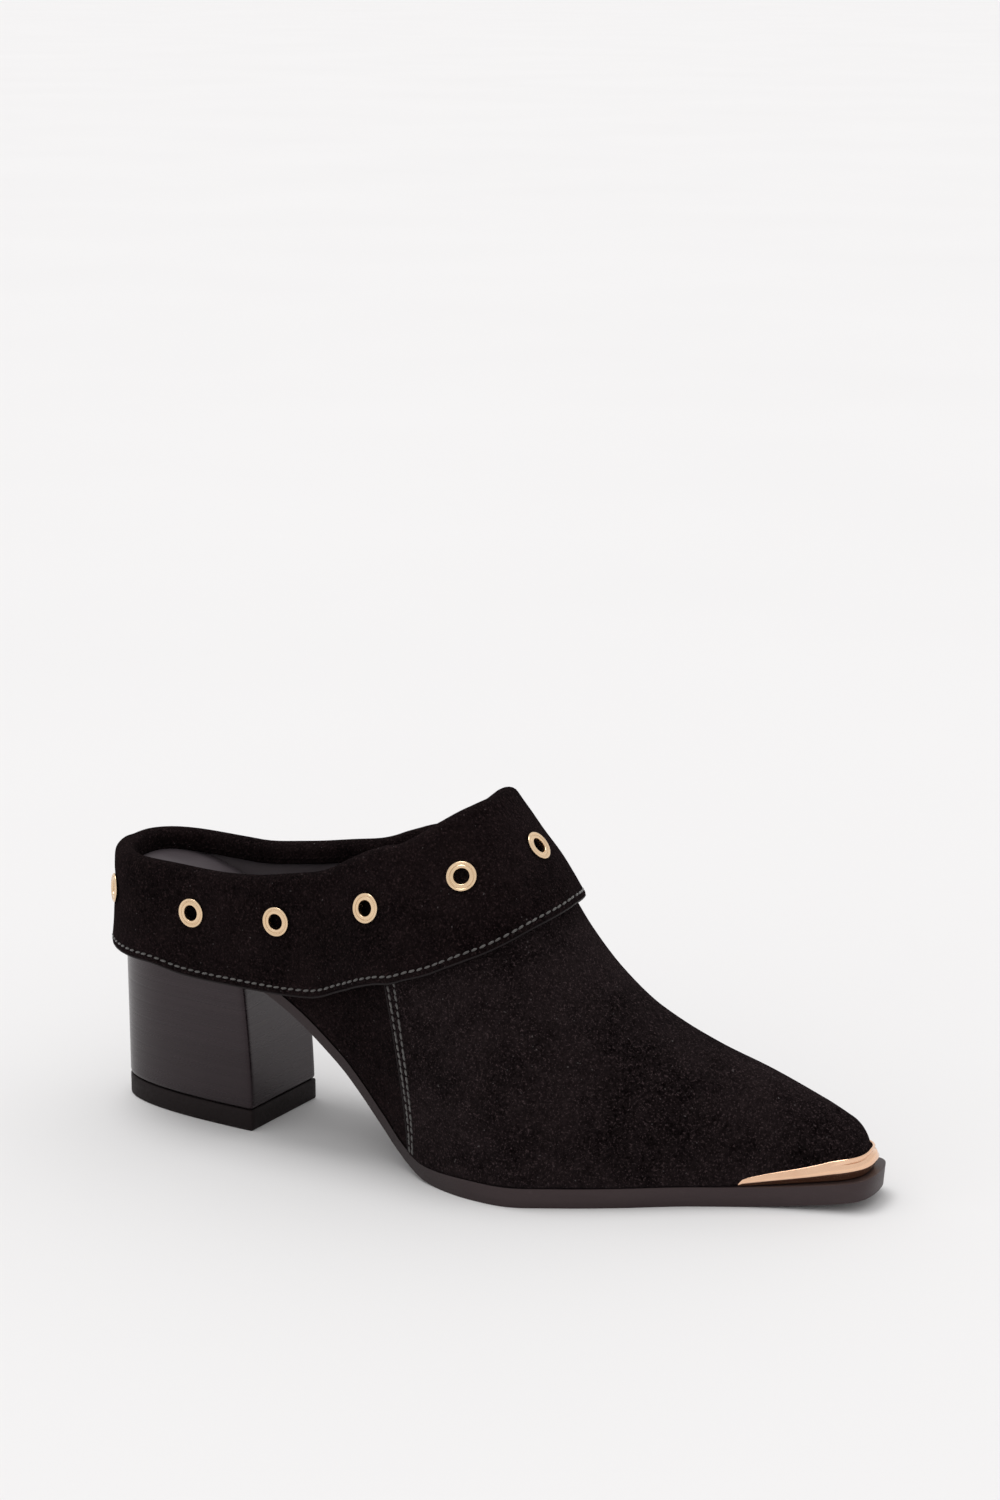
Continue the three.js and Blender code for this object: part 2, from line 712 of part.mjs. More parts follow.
function cuffBlank() {
  const count = 2 * cuffSteps;
  const paths = [];
  for (let i = 0; i < count; i += 1) paths.push(cuffPath(cuffStop(i)));
  const last = paths[0].length - 1;
  const inner = paths[0].map((_, k) => paths.map((path) => path[last - k]));
  const outer = inner.map((row, k) => row.map((p, j) => {
    const [left, right] = [row[(j + count - 1) % count], row[(j + 1) % count]];
    const [below, above] = [inner[Math.max(0, k - 1)][j], inner[Math.min(last, k + 1)][j]];
    const normal = right.clone().sub(left).cross(above.clone().sub(below)).normalize();
    return p.clone().addScaledVector(normal, cuffThickness);
  }));
  return shell(outer, inner);
}

// Places of the eyelets, evenly along a line on the cuff, with the way out at each
function eyeletPlaces() {
  const pointAt = (round, shift) => {
    const section = cuffSection(round);
    return section.at(section.eyelets + shift);
  };
  const count = 2 * cuffSteps;
  const line = [];
  for (let i = 0; i <= count; i += 1) line.push(pointAt(i / count, 0));
  const lengths = [0];
  for (let i = 1; i <= count; i += 1) lengths.push(lengths[i - 1] + line[i].distanceTo(line[i - 1]));
  const places = [];
  for (let e = 0; e < eyeletCount; e += 1) {
    const wanted = (lengths[count] * e) / eyeletCount;
    let i = 1;
    while (lengths[i] < wanted) i += 1;
    const round = (i - 1 + (wanted - lengths[i - 1]) / (lengths[i] - lengths[i - 1])) / count;
    const half = eyeletDiameter / 2;
    const turn = half / lengths[count];
    const across = pointAt(round + turn, 0).sub(pointAt(round - turn, 0));
    const down = pointAt(round, half).sub(pointAt(round, -half));
    const out = down.cross(across).normalize();
    places.push({ point: pointAt(round, 0).addScaledVector(out, cuffThickness), out });
  }
  return places;
}

const eyeletHoles = eyeletPlaces();
const barrelRadius = eyeletBore / 2 + eyeletWall;
const stand = (out) => new THREE.Quaternion().setFromUnitVectors(new THREE.Vector3(0, 1, 0), out);

// Cuff with a round hole at each eyelet
function cuff() {
  let solid = toManifold(cuffBlank());
  for (const { point, out } of eyeletHoles) {
    const drill = new THREE.CylinderGeometry(barrelRadius + clearance, barrelRadius + clearance, 4 * cuffThickness, roundSides);
    drill.deleteAttribute('normal');
    drill.deleteAttribute('uv');
    drill.applyQuaternion(stand(out)).translate(point.x, point.y, point.z);
    solid = solid.subtract(toManifold(mergeVertices(drill, joinDistance)));
  }
  return fromManifold(solid);
}

// Eyelet: a rolled flange on a short barrel that passes through the cuff
function eyelet() {
  const [bore, rim] = [eyeletBore / 2, eyeletDiameter / 2];
  const profile = [
    [bore, -cuffThickness],
    [barrelRadius, -cuffThickness],
    [barrelRadius, clearance],
    [rim, clearance],
    [rim - eyeletFlange / 2, clearance + eyeletFlange],
    [bore + eyeletFlange / 2, clearance + eyeletFlange],
    [bore, clearance + eyeletFlange / 2],
    [bore, -cuffThickness],
  ];
  return new THREE.LatheGeometry(profile.map(([r, h]) => new THREE.Vector2(r, h)), roundSides);
}

const suede = new THREE.MeshStandardMaterial({ color: 0x15110f, roughness: 0.95, metalness: 0 });
const soleLeather = new THREE.MeshStandardMaterial({ color: 0x3a3233, roughness: 0.5, metalness: 0 });
const heelLacquer = new THREE.MeshStandardMaterial({ color: 0x352e30, roughness: 0.3, metalness: 0 });
const tipRubber = new THREE.MeshStandardMaterial({ color: 0x161313, roughness: 0.7, metalness: 0 });
const lining = new THREE.MeshStandardMaterial({ color: 0x453d3f, roughness: 0.6, metalness: 0 });
const paleGold = new THREE.MeshStandardMaterial({ color: 0xdcb98a, roughness: 0.3, metalness: 1 });
const roseGold = new THREE.MeshStandardMaterial({ color: 0xe0ab88, roughness: 0.15, metalness: 1 });

const shoe = new THREE.Group();

function addPiece(name, geometry, material) {
  const mesh = new THREE.Mesh(geometry, material);
  mesh.name = name;
  shoe.add(mesh);
  return mesh;
}

addPiece('outsole', outsole(), soleLeather);
addPiece('heel', heel(), heelLacquer);
addPiece('heel_tip', heelTip(), tipRubber);
addPiece('insole', insole(), lining);
addPiece('upper', upperForm.solid, suede);
addPiece('cuff', cuff(), suede);
addPiece('toe_rim', toeRim(), roseGold);
eyeletHoles.forEach(({ point, out }, i) => {
  const piece = addPiece(`eyelet_${String(i).padStart(2, '0')}`, eyelet(), paleGold);
  piece.position.copy(point);
  piece.quaternion.copy(stand(out));
});

export default shoe;
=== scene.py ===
# A heeled mule for the right foot: suede upper, deep folded cuff with eyelets, stacked heel, metal toe rim.
# Shapes are worked out in millimetres and put into metres at the end.
# +X points to the toe, +Y to the inner side of the foot, +Z up.
import math
import random

import bmesh
import bpy
from mathutils import Matrix, Vector, noise
from mathutils.bvhtree import BVHTree


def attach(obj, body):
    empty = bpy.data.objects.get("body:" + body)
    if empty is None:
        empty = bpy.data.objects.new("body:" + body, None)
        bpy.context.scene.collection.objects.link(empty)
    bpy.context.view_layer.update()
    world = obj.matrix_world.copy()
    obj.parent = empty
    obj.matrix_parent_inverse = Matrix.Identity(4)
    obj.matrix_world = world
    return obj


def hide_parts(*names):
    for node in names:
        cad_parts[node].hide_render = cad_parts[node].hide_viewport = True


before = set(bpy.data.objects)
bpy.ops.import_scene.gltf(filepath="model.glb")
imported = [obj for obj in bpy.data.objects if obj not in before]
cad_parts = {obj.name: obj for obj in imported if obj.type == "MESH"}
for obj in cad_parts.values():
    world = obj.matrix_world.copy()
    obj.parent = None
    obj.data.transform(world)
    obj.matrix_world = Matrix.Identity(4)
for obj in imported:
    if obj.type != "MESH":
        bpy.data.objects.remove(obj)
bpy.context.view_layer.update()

MM = 0.001
UP = Vector((0, 0, 1))

# Sizes of the shoe
SOLE_LENGTH = 262
BALL_WIDTH = 84
HEEL_HEIGHT = 76
INSTEP_HEIGHT = 118
TOE_SPRING = 4
WAIST_THICKNESS = 3.4
FORE_THICKNESS = 6.4
SIDE_LEDGE = 0.2
BALL_LEDGE = 1
TOE_LEDGE = 4.6
SOLE_SIDE_INSET = 0.5
TIP_LENGTH = 59.5
TIP_WIDTH = 37.5
TIP_THICKNESS = 7
HEEL_TURN = 6.9
HEEL_CURVE = 2.6
HEEL_SPREAD = 1.6
BREAST_PLACE = 0.21
SEAT_RADIUS = 24
SEAT_CURVE = 2.2
TOE_RADIUS = 7.5
TOE_CURVE = 2.6
UPPER_WALL = 2
VAMP_RAISE = 0.9
LAP_FADE = (22, 9)
CLEARANCE = 0.35
INSOLE_THICKNESS = 3
INSOLE_GAP = 0.5
CUFF_DEPTH = 40
CUFF_THICKNESS = 1.8
CUFF_FACING = 3
CUFF_CLEARANCE = 0.55
CUFF_FLARE = 1.6
EYELET_COUNT = 11
EYELET_DIAMETER = 9.6
EYELET_BORE = 5
EYELET_WALL = 0.7
RIM_HEIGHT = 8.6
RIM_END_HEIGHT = 0.28
RIM_TIP_DROP = 2
RIM_END_ROW = 4.0
RIM_FALL = 0.38
BACK_X = -0.111 * SOLE_LENGTH
INSTEP_RISE = INSTEP_HEIGHT - FORE_THICKNESS
SPRING_START = 0.82

# Sizes of the finish
SUEDE_THICKNESS = 1.1
STITCH_LENGTH = 2.2
STITCH_RADIUS = 0.38
STITCH_PITCH = 2.75
SEAM_PITCH = STITCH_PITCH * 0.86
EDGE_STITCH = 1.5
FACING_STITCH = 1.2
SEAM_STITCHES = (1.5, 3.7)
SEAM_EDGE = (0.55, 0.3)
CUFF_EDGE = (0.75, 0.42)
CUFF_EDGE_DROP = 0.35
HEEL_JOINT = CLEARANCE * 0.3
PUNCH_CLEARANCE = 0.15
PUNCH_DEPTH = 9

# Eyelets aren't set quite evenly: millimetres along the cuff, by the eyelet's number
EYELET_SHIFTS = {0: -2.6, 7: 4.1, 8: 1.6, 9: 2.5, 10: 1.9}

# Camera and light. Places are in metres.
CAMERA_PLACE = (0.5131, -0.9146, 0.3805)
CAMERA_WAY = (-0.3947, 0.8864, -0.2418)
CAMERA_LENS = 79.2
WINDOW_WAY = (0.24, -0.08, -0.97)
WINDOW_STRENGTH = 0.98
WINDOW_ANGLE = 28
HORIZON = {"From Min": 0.08, "From Max": 0.4, "To Min": 0.93, "To Max": 0.82}
FLOOR_REACH = 30


def table(columns, *rows):
    """Rows of numbers by the names of their columns"""
    return [dict(zip(columns, row)) for row in rows]


# Plan of the sole: places along it, and its spine and widths as shares of the ball's width
PLAN = table(
    ("place", "spine", "outer", "inner"),
    (0.0, 0.039, 0.276, 0.276),
    (0.12, 0.0, 0.279, 0.279),
    (0.225, -0.037, 0.276, 0.262),
    (0.345, -0.049, 0.286, 0.25),
    (0.416, -0.052, 0.321, 0.268),
    (0.497, -0.05, 0.455, 0.345),
    (0.55, -0.048, 0.518, 0.399),
    (0.6, -0.041, 0.542, 0.433),
    (0.66, -0.031, 0.488, 0.44),
    (0.72, -0.02, 0.414, 0.413),
    (0.8, -0.004, 0.3, 0.324),
    (0.88, 0.012, 0.219, 0.226),
    (1.0, 0.03, 0.137, 0.137),
)
# Height of the sole's underside, as a share of the heel's height
ARCH = table(
    ("place", "height"),
    (0.0, 1.0),
    (0.111, 0.886),
    (0.233, 0.674),
    (0.283, 0.574),
    (0.348, 0.392),
    (0.378, 0.287),
    (0.409, 0.171),
    (0.432, 0.092),
    (0.458, 0.038),
    (0.485, 0.008),
    (0.512, 0.0),
)
# Height of the last's ridge over the sole, as a share of the instep's rise
RIDGE = table(
    ("place", "rise"),
    (0.08, 0.6),
    (0.22, 0.76),
    (0.34, 0.923),
    (0.435, 1.085),
    (0.485, 1.09),
    (0.512, 1.035),
    (0.53, 0.985),
    (0.573, 0.83),
    (0.62, 0.646),
    (0.66, 0.527),
    (0.71, 0.4245),
    (0.78, 0.342),
    (0.86, 0.2745),
    (0.92, 0.205),
    (0.944, 0.171),
)
# Height of the collar's edge over the sole on either side, in the same shares
COLLAR = table(
    ("place", "outer", "inner"),
    (0.0, 0.052, 0.048),
    (0.07, 0.094, 0.074),
    (0.14, 0.15, 0.127),
    (0.21, 0.236, 0.231),
    (0.317, 0.429, 0.426),
    (0.422, 0.78, 0.747),
    (0.485, 0.938, 0.93),
    (0.515, 0.974, 0.974),
    (0.53, 0.985, 0.985),
)
# Sections from the toe to the back: where each leaves the feather line and meets the ridge, then how far
# its side rises, how far it leans out in degrees and how wide its top is
SECTIONS = table(
    ("row", "foot", "top", "side", "lean", "wide"),
    (0, 1.0, 0.944, 0.4, 6, 0.08),
    (1, 0.95, 0.942, 0.4, 6, 0.092),
    (2, 0.9, 0.935, 0.4, 4, 0.105),
    (3, 0.85, 0.915, 0.4, 2, 0.113),
    (4, 0.76, 0.85, 0.38, 2, 0.133),
    (5, 0.68, 0.77, 0.36, 4, 0.19),
    (6, 0.61, 0.685, 0.34, 4, 0.26),
    (7, 0.555, 0.6, 0.34, 2, 0.3),
    (8, 0.52, 0.53, 0.34, 0, 0.325),
    (9, 0.508, 0.51, 0.33, 0, 0.33),
    (10, 0.494, 0.46, 0.32, 1, 0.33),
    (11, 0.479, 0.342, 0.31, 3, 0.32),
    (12, 0.43, 0.28, 0.3, 6, 0.3),
    (13, 0.36, 0.2, 0.3, 7, 0.285),
    (14, 0.26, 0.145, 0.3, 6, 0.28),
    (15, 0.14, 0.118, 0.3, 5, 0.28),
    (16, 0.0, 0.108, 0.3, 4, 0.28),
)
THROAT_ROW = 8
SEAM_ROW = 11
LAST_ROW = 16
TOE_FAN = (0.9, 0.944)
HEEL_FAN = (0.11, 0.22)
# The cuff from the throat to the back: its depth and its eyelets' depth, as shares of its named depth
CUFF = table(
    ("turn", "depth", "eyelets"),
    (0.0, 0.943, 0.435),
    (0.05, 0.965, 0.43),
    (0.12, 1.035, 0.425),
    (0.17, 1.03, 0.43),
    (0.23, 0.975, 0.415),
    (0.32, 0.958, 0.365),
    (0.4, 0.912, 0.33),
    (0.48, 0.872, 0.295),
    (0.56, 0.816, 0.27),
    (0.62, 0.79, 0.27),
    (0.72, 0.778, 0.27),
    (0.8, 0.735, 0.265),
    (0.9, 0.73, 0.265),
    (1.0, 0.76, 0.265),
)
# Soft hollows in the cuff
HOLLOWS = table(
    ("x", "y", "z", "size", "depth"),
    (41, -24, 82, 8, 1.1),
    (78, -27, 84, 13, 0.6),
    (2, -30, 68, 11, 0.6),
    (60, 24, 80, 12, 0.7),
)
# Section of the toe rim: shares of its height, and how far it stands out where it is plain or fluted
RIM = table(
    ("share", "plain", "fluted"),
    (0.0, 0.32, 0.32),
    (0.5, 0.32, 0.32),
    (0.97, 0.32, 0.32),
    (1.0, 0.45, 0.45),
    (1.0, 0.66, 0.75),
    (0.975, 0.8, 1.05),
    (0.95, 0.92, 1.15),
    (0.79, 1.26, 0.3),
    (0.76, 1.32, 0.4),
    (0.73, 1.4, 1.35),
    (0.64, 1.66, 1.6),
    (0.5, 2.0, 2.0),
    (0.44, 1.88, 1.88),
    (0.34, 1.5, 1.5),
    (0.22, 1.02, 1.02),
    (0.08, 0.58, 0.58),
    (0.0, 0.4, 0.4),
)


def lerp(a, b, share):
    return a + (b - a) * share


def smoothstep(x, low, high):
    t = min(max((x - low) / (high - low), 0.0), 1.0)
    return t * t * (3 - 2 * t)


def solve(rising, value, low, high):
    """Argument at which a rising function reaches a value"""
    for _ in range(30):
        middle = (low + high) / 2
        if rising(middle) < value:
            low = middle
        else:
            high = middle
    return low


def read(rows, column, at, key="place"):
    """Value of a column at a place in a table, on a smooth curve that does not overshoot its rows"""
    last = len(rows) - 1
    if at <= rows[0][key]:
        return rows[0][column]
    if at >= rows[last][key]:
        return rows[last][column]
    i = 0
    while rows[i + 1][key] < at:
        i += 1

    def slope(k):
        return (rows[k + 1][column] - rows[k][column]) / (rows[k + 1][key] - rows[k][key])

    def tangent(k):
        if k == 0:
            return slope(0)
        if k == last:
            return slope(last - 1)
        a, b = slope(k - 1), slope(k)
        return 0 if a * b <= 0 else 2 * a * b / (a + b)

    width = rows[i + 1][key] - rows[i][key]
    t = (at - rows[i][key]) / width
    y0, y1 = rows[i][column], rows[i + 1][column]
    m0, m1 = tangent(i) * width, tangent(i + 1) * width
    t2, t3 = t * t, t * t * t
    return y0 * (2 * t3 - 3 * t2 + 1) + m0 * (t3 - 2 * t2 + t) + y1 * (3 * t2 - 2 * t3) + m1 * (t3 - t2)


def place_of(x):
    return (x - BACK_X) / SOLE_LENGTH


def spine_y(x):
    return read(PLAN, "spine", place_of(x)) * BALL_WIDTH


def ledge(place):
    ball = smoothstep(place, 0.45, 0.6)
    toe = smoothstep(place, 0.8, 0.97)
    return lerp(lerp(SIDE_LEDGE, BALL_LEDGE, ball), TOE_LEDGE, toe)


def round_end(distance, radius, curve):
    """Share of the half width left at a distance from a rounded end"""
    if distance >= radius:
        return 1
    return (1 - ((radius - max(distance, 0)) / radius) ** curve) ** (1 / curve)


def underside(x):
    place = place_of(x)
    lift = max(0, (place - SPRING_START) / (1 - SPRING_START))
    return read(ARCH, "height", place) * HEEL_HEIGHT + TOE_SPRING * lift**2


def sole_top(x):
    fore = smoothstep(place_of(x), 0.4, 0.56)
    slope = (underside(x + 1) - underside(x - 1)) / 2
    return underside(x) + lerp(WAIST_THICKNESS, FORE_THICKNESS, fore) * math.hypot(1, slope)


def outline(along, side, inset):
    """Point of the sole's outline. along: 0 at the back, 1 at the toe. side: -1 outer, 1 inner."""
    share = (1 - math.cos(math.pi * along)) / 2
    rear = BACK_X + inset(0)
    front = BACK_X + SOLE_LENGTH - inset(1)
    x = lerp(rear, front, share)
    place = place_of(x)
    edge = read(PLAN, "outer" if side < 0 else "inner", place) * BALL_WIDTH - inset(place)
    ends = round_end(x - rear, SEAT_RADIUS, SEAT_CURVE) * round_end(front - x, TOE_RADIUS, TOE_CURVE)
    return Vector((x, spine_y(x) + side * edge * ends, 0))


def feather(along, side):
    return outline(along, side, ledge)


def feather_out(along, side):
    """Outward direction in plan of the feather line"""
    step = 1e-3
    tangent = feather(min(1, along + step), side) - feather(max(0, along - step), side)
    tangent = tangent.normalized() * side
    return Vector((-tangent.y, tangent.x, 0))


def ridge_height(x):
    return sole_top(x) + read(RIDGE, "rise", place_of(x)) * INSTEP_RISE


def collar_height(x, side):
    return sole_top(x) + read(COLLAR, "outer" if side < 0 else "inner", place_of(x)) * INSTEP_RISE


class Section:
    """Curve of one section of the last, from the feather line to the ridge"""

    def __init__(self, row, side):
        def value(column):
            return read(SECTIONS, column, row, "row")

        foot = feather(value("foot"), side)
        start = Vector((foot.x, foot.y, sole_top(foot.x) + CLEARANCE))
        x = BACK_X + value("top") * SOLE_LENGTH
        end = Vector((x, spine_y(x), ridge_height(x)))
        chord = (end - start).length
        lean = math.radians(value("lean"))
        straight = smoothstep(value("top"), *HEEL_FAN) * (1 - smoothstep(value("top"), *TOE_FAN))
        top_out = Vector((foot.x - end.x, foot.y - end.y, 0)).normalized()
        top_out = top_out.lerp(Vector((0, side, 0)), straight).normalized()
        slope = (ridge_height(x + 1) - ridge_height(x - 1)) / 2
        top_out.z = slope * top_out.x
        reach = value("side") * chord
        first = start + feather_out(value("foot"), side) * reach * math.sin(lean)
        first += UP * reach * math.cos(lean)
        second = end + top_out * value("wide") * BALL_WIDTH
        self.points = (start, first, second, end)
        self.limit = 1
        if row > THROAT_ROW:
            self.limit = solve(lambda t: self.at(t).z - collar_height(self.at(t).x, side), 0, 0, 1)

    def at(self, t):
        a, b, c, d = self.points
        s = 1 - t
        return a * s**3 + b * (3 * s * s * t) + c * (3 * s * t * t) + d * t**3


def form_point(row, side, share, distance):
    """Point of the last at a share of a section's height, moved out along the normal"""
    step = 1e-3
    here = Section(row, side)
    share *= here.limit
    point = here.at(share)
    ahead = Section(min(LAST_ROW, row + step), side).at(share)
    behind = Section(max(0, row - step), side).at(share)
    along = Vector((0, side, 0)) if row < step else ahead - behind
    normal = along.cross(here.at(share + step) - point).normalized()
    if normal.dot(feather_out(read(SECTIONS, "foot", row, "row"), side)) < 0:
        normal.negate()
    return point + normal * distance, normal


# Making pieces


def grid(columns, rows, place, closed=False, folded=False):
    """A sheet whose points are placed by their share across and their share up.
    closed: its last column is its first. folded: its end rows close on themselves too."""
    bm = bmesh.new()
    across = bm.verts.layers.float.new("across")
    upward = bm.verts.layers.float.new("upward")
    bmesh.ops.create_grid(bm, x_segments=columns, y_segments=rows, size=0.5)
    for vert in bm.verts:
        u, v = vert.co.x + 0.5, vert.co.y + 0.5
        vert[across], vert[upward] = u, v
        vert.co = place(u, v)
    if closed or folded:
        bmesh.ops.remove_doubles(bm, verts=bm.verts, dist=1e-3)
    return bm


def face_outward(bm):
    bmesh.ops.recalc_face_normals(bm, faces=bm.faces)


def steady_normals(bm):
    """Normals evened out with their neighbours, so that a crowded point can't stray"""
    bm.normal_update()
    normals = [vert.normal.copy() for vert in bm.verts]
    bm.verts.index_update()
    for _ in range(2):
        made = []
        for vert in bm.verts:
            total = normals[vert.index].copy()
            for edge in vert.link_edges:
                total += normals[edge.other_vert(vert).index]
            made.append(total.normalized())
        normals = made
    return normals


def soften(bm, angle, radius, segments):
    """Rounds the edges that turn by more than an angle"""
    limit = math.radians(angle)
    edges = [edge for edge in bm.edges if len(edge.link_faces) == 2 and edge.calc_face_angle() > limit]
    bmesh.ops.bevel(
        bm,
        geom=edges,
        offset=radius,
        offset_type="OFFSET",
        segments=segments,
        profile=0.5,
        affect="EDGES",
        clamp_overlap=True,
        material=-1,
    )


def piece(name, bm, material, slot, *nodes):
    """Makes an object of a mesh in millimetres, gives it its finish and lets it ride on the shoe"""
    bmesh.ops.scale(bm, vec=(MM, MM, MM), verts=bm.verts)
    for face in bm.faces:
        face.smooth = True
    mesh = bpy.data.meshes.new(name)
    bm.to_mesh(mesh)
    bm.free()
    made = bpy.data.objects.new(name, mesh)
    bpy.context.scene.collection.objects.link(made)
    mesh.materials.append(material)
    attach(made, "root")
    if nodes:
        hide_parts(*nodes)
    return made


def wave(point, size, height, seed):
    """Soft unevenness of a size"""
    offset = Vector((seed, 2 * seed, 3 * seed))
    return noise.noise(point / size + offset) * height


# Materials


class Signal:
    """A number from a material's nodes, with Python's operators"""

    def __init__(self, finish, socket):
        self.finish = finish
        self.socket = socket

    def _math(self, operation, a, b):
        made = self.finish.node("ShaderNodeMath", {"operation": operation}, {0: a, 1: b})
        return Signal(self.finish, made.outputs[0])

    def __add__(self, other):
        return self._math("ADD", self, other)

    def __sub__(self, other):
        return self._math("SUBTRACT", self, other)

    def __rsub__(self, other):
        return self._math("SUBTRACT", other, self)

    def __mul__(self, other):
        return self._math("MULTIPLY", self, other)

    def between(self, low, high, start=0.0, end=1.0):
        """Runs smoothly from start to end while the number runs from low to high"""
        made = self.finish.node(
            "ShaderNodeMapRange",
            {"interpolation_type": "SMOOTHSTEP"},
            {"Value": self, "From Min": low, "From Max": high, "To Min": start, "To Max": end},
        )
        return Signal(self.finish, made.outputs[0])

    __radd__ = __add__
    __rmul__ = __mul__


class Finish:
    """A material made of nodes round one principled shader"""

    def __init__(self, name, **constants):
        self.material = bpy.data.materials.new(name)
        self.material.use_nodes = True
        self.tree = self.material.node_tree
        self.shader = self.tree.nodes["Principled BSDF"]
        for socket, value in constants.items():
            self.shader.inputs[socket.replace("_", " ")].default_value = value
        coordinates = self.node("ShaderNodeTexCoord")
        self.place = coordinates.outputs["Object"]

    def node(self, kind, settings=None, inputs=None):
        made = self.tree.nodes.new(kind)
        for key, value in (settings or {}).items():
            setattr(made, key, value)
        for key, value in (inputs or {}).items():
            self.feed(made.inputs[key], value)
        return made

    def feed(self, socket, value):
        if isinstance(value, Signal):
            value = value.socket
        if isinstance(value, bpy.types.NodeSocket):
            self.tree.links.new(value, socket)
        else:
            socket.default_value = value

    def grain(self, size, detail=2.0, rough=0.5, stretch=(1, 1, 1)):
        """Noise whose lumps have a size in millimetres"""
        scale = tuple(1 / (size * MM * s) for s in stretch)
        mapped = self.node("ShaderNodeMapping", None, {"Vector": self.place, "Scale": scale})
        made = self.node(
            "ShaderNodeTexNoise",
            None,
            {"Vector": mapped.outputs[0], "Scale": 1.0, "Detail": detail, "Roughness": rough},
        )
        return Signal(self, made.outputs["Fac"])

    def position(self, axis):
        """The place along an axis, in metres"""
        split = self.node("ShaderNodeSeparateXYZ", None, {0: self.place})
        return Signal(self, split.outputs[axis])

    def cells(self, size):
        """Pits whose spacing has a size in millimetres"""
        made = self.node("ShaderNodeTexVoronoi", None, {"Vector": self.place, "Scale": 1 / (size * MM)})
        return Signal(self, made.outputs["Distance"])

    def colour(self, low, high, share):
        """Mix of two colours, each given as red, green and blue or as a socket"""
        a, b = (end if isinstance(end, bpy.types.NodeSocket) else (*end, 1) for end in (low, high))
        made = self.node("ShaderNodeMix", {"data_type": "RGBA"}, {0: share, 6: a, 7: b})
        return made.outputs[2]

    def relief(self, height, depth, normal=None):
        """Bump whose full height is a depth in millimetres"""
        made = self.node("ShaderNodeBump", None, {"Strength": 1.0, "Distance": depth * MM, "Height": height})
        if normal is not None:
            self.feed(made.inputs["Normal"], normal)
        return made.outputs[0]

    def paint(self, **links):
        for socket, value in links.items():
            self.feed(self.shader.inputs[socket.replace("_", " ")], value)
        return self.material


def suede(name, light):
    finish = Finish(
        name,
        Metallic=0.0,
        Specular_IOR_Level=0.0,
        Sheen_Weight=0.035,
        Sheen_Roughness=0.5,
        Sheen_Tint=(0.6, 0.5, 0.53, 1),
    )
    patches = finish.grain(30, 3, 0.55).between(0.4, 0.62)
    strokes = finish.grain(8, 3, 0.6, (1.5, 1, 1)).between(0.35, 0.68)
    nap = finish.grain(1.5, 4, 0.8).between(0.36, 0.66)
    fibres = finish.grain(0.7, 2, 0.8)
    lint = finish.grain(1.1, 1, 0.4).between(0.75, 0.81)
    tone = patches * 0.3 + strokes * 0.22 + nap * 0.48
    ground = finish.colour((0.001, 0.0005, 0.0005), light, tone)
    flecked = finish.colour(ground, tuple(3.4 * part for part in light), fibres.between(0.52, 0.72) * 0.75)
    dusted = finish.colour(flecked, (0.14, 0.125, 0.125), lint * 0.5)
    coarse = finish.relief(nap, 0.35)
    return finish.paint(
        Base_Color=dusted,
        Roughness=tone.between(0, 1, 0.98, 0.85),
        Normal=finish.relief(fibres, 0.3, coarse),
    )


def sole_leather():
    finish = Finish("sole_leather", Metallic=0.0, Coat_Roughness=0.3, Specular_Tint=(1, 0.78, 0.8, 1))
    streaks = finish.grain(9, 3, 0.6, (3, 3, 0.4))
    fine = finish.grain(0.5, 3, 0.7)
    scuffs = finish.grain(3.5, 4, 0.65).between(0.6, 0.78)
    base = finish.colour((0.016, 0.0105, 0.0108), (0.028, 0.0195, 0.02), streaks)
    front = finish.position("X").between(0.07, 0.15)
    shaded = finish.colour((0.004, 0.0025, 0.0025), base, front)
    worn = finish.colour(shaded, (0.05, 0.04, 0.038), scuffs * 0.25)
    return finish.paint(
        Base_Color=worn,
        Roughness=fine.between(0.2, 0.8, 0.42, 0.6),
        Coat_Weight=streaks * 0.1,
        Normal=finish.relief(fine, 0.04),
    )


def heel_stack():
    finish = Finish(
        "heel_stack",
        Metallic=0.0,
        IOR=1.38,
        Coat_Roughness=0.18,
        Specular_Tint=(1, 0.8, 0.86, 1),
    )
    layers = finish.grain(3.4, 2, 0.5, (60, 60, 1))
    lines = finish.grain(1.15, 1, 0.3, (80, 80, 1)).between(0.6, 0.7)
    streaks = finish.grain(2.0, 3, 0.65, (14, 14, 0.5))
    fine = finish.grain(0.7, 3, 0.6)
    # Painted light: the base colour runs lighter towards the top of the heel and darker low down, standing
    # in for reflected light and shade. The layers and streaks mixed in with it are the stack's own tone.
    rise = finish.position("Z").between(0.01, 0.07)
    bands_and_painted_light = layers.between(0.35, 0.65) * 0.25 + streaks * 0.2 + rise * 0.55
    base = finish.colour((0.003, 0.001, 0.0015), (0.018, 0.0118, 0.0138), bands_and_painted_light)
    lined = finish.colour(base, (0.003, 0.002, 0.0025), lines * 0.35)
    ridges = finish.relief(lines, -0.025)
    return finish.paint(
        Base_Color=lined,
        Roughness=streaks.between(0.3, 0.7, 0.26, 0.31),
        Coat_Weight=fine * 0.1 + 0.1,
        Normal=finish.relief(fine, 0.012, ridges),
    )


def tip_rubber():
    finish = Finish("tip_rubber", Metallic=0.0, Specular_IOR_Level=0.2, Specular_Tint=(1, 0.8, 0.82, 1))
    grit = finish.grain(0.8, 4, 0.7)
    worn = (1 - finish.position("Z").between(0.0, 0.0016)) * finish.grain(2.5, 3, 0.6).between(0.4, 0.7)
    base = finish.colour((0.0035, 0.0025, 0.0025), (0.009, 0.007, 0.007), grit)
    scuffed = finish.colour(base, (0.04, 0.034, 0.033), worn * 0.5)
    return finish.paint(
        Base_Color=scuffed,
        Roughness=grit.between(0.3, 0.7, 0.55, 0.75),
        Normal=finish.relief(grit, 0.05),
    )


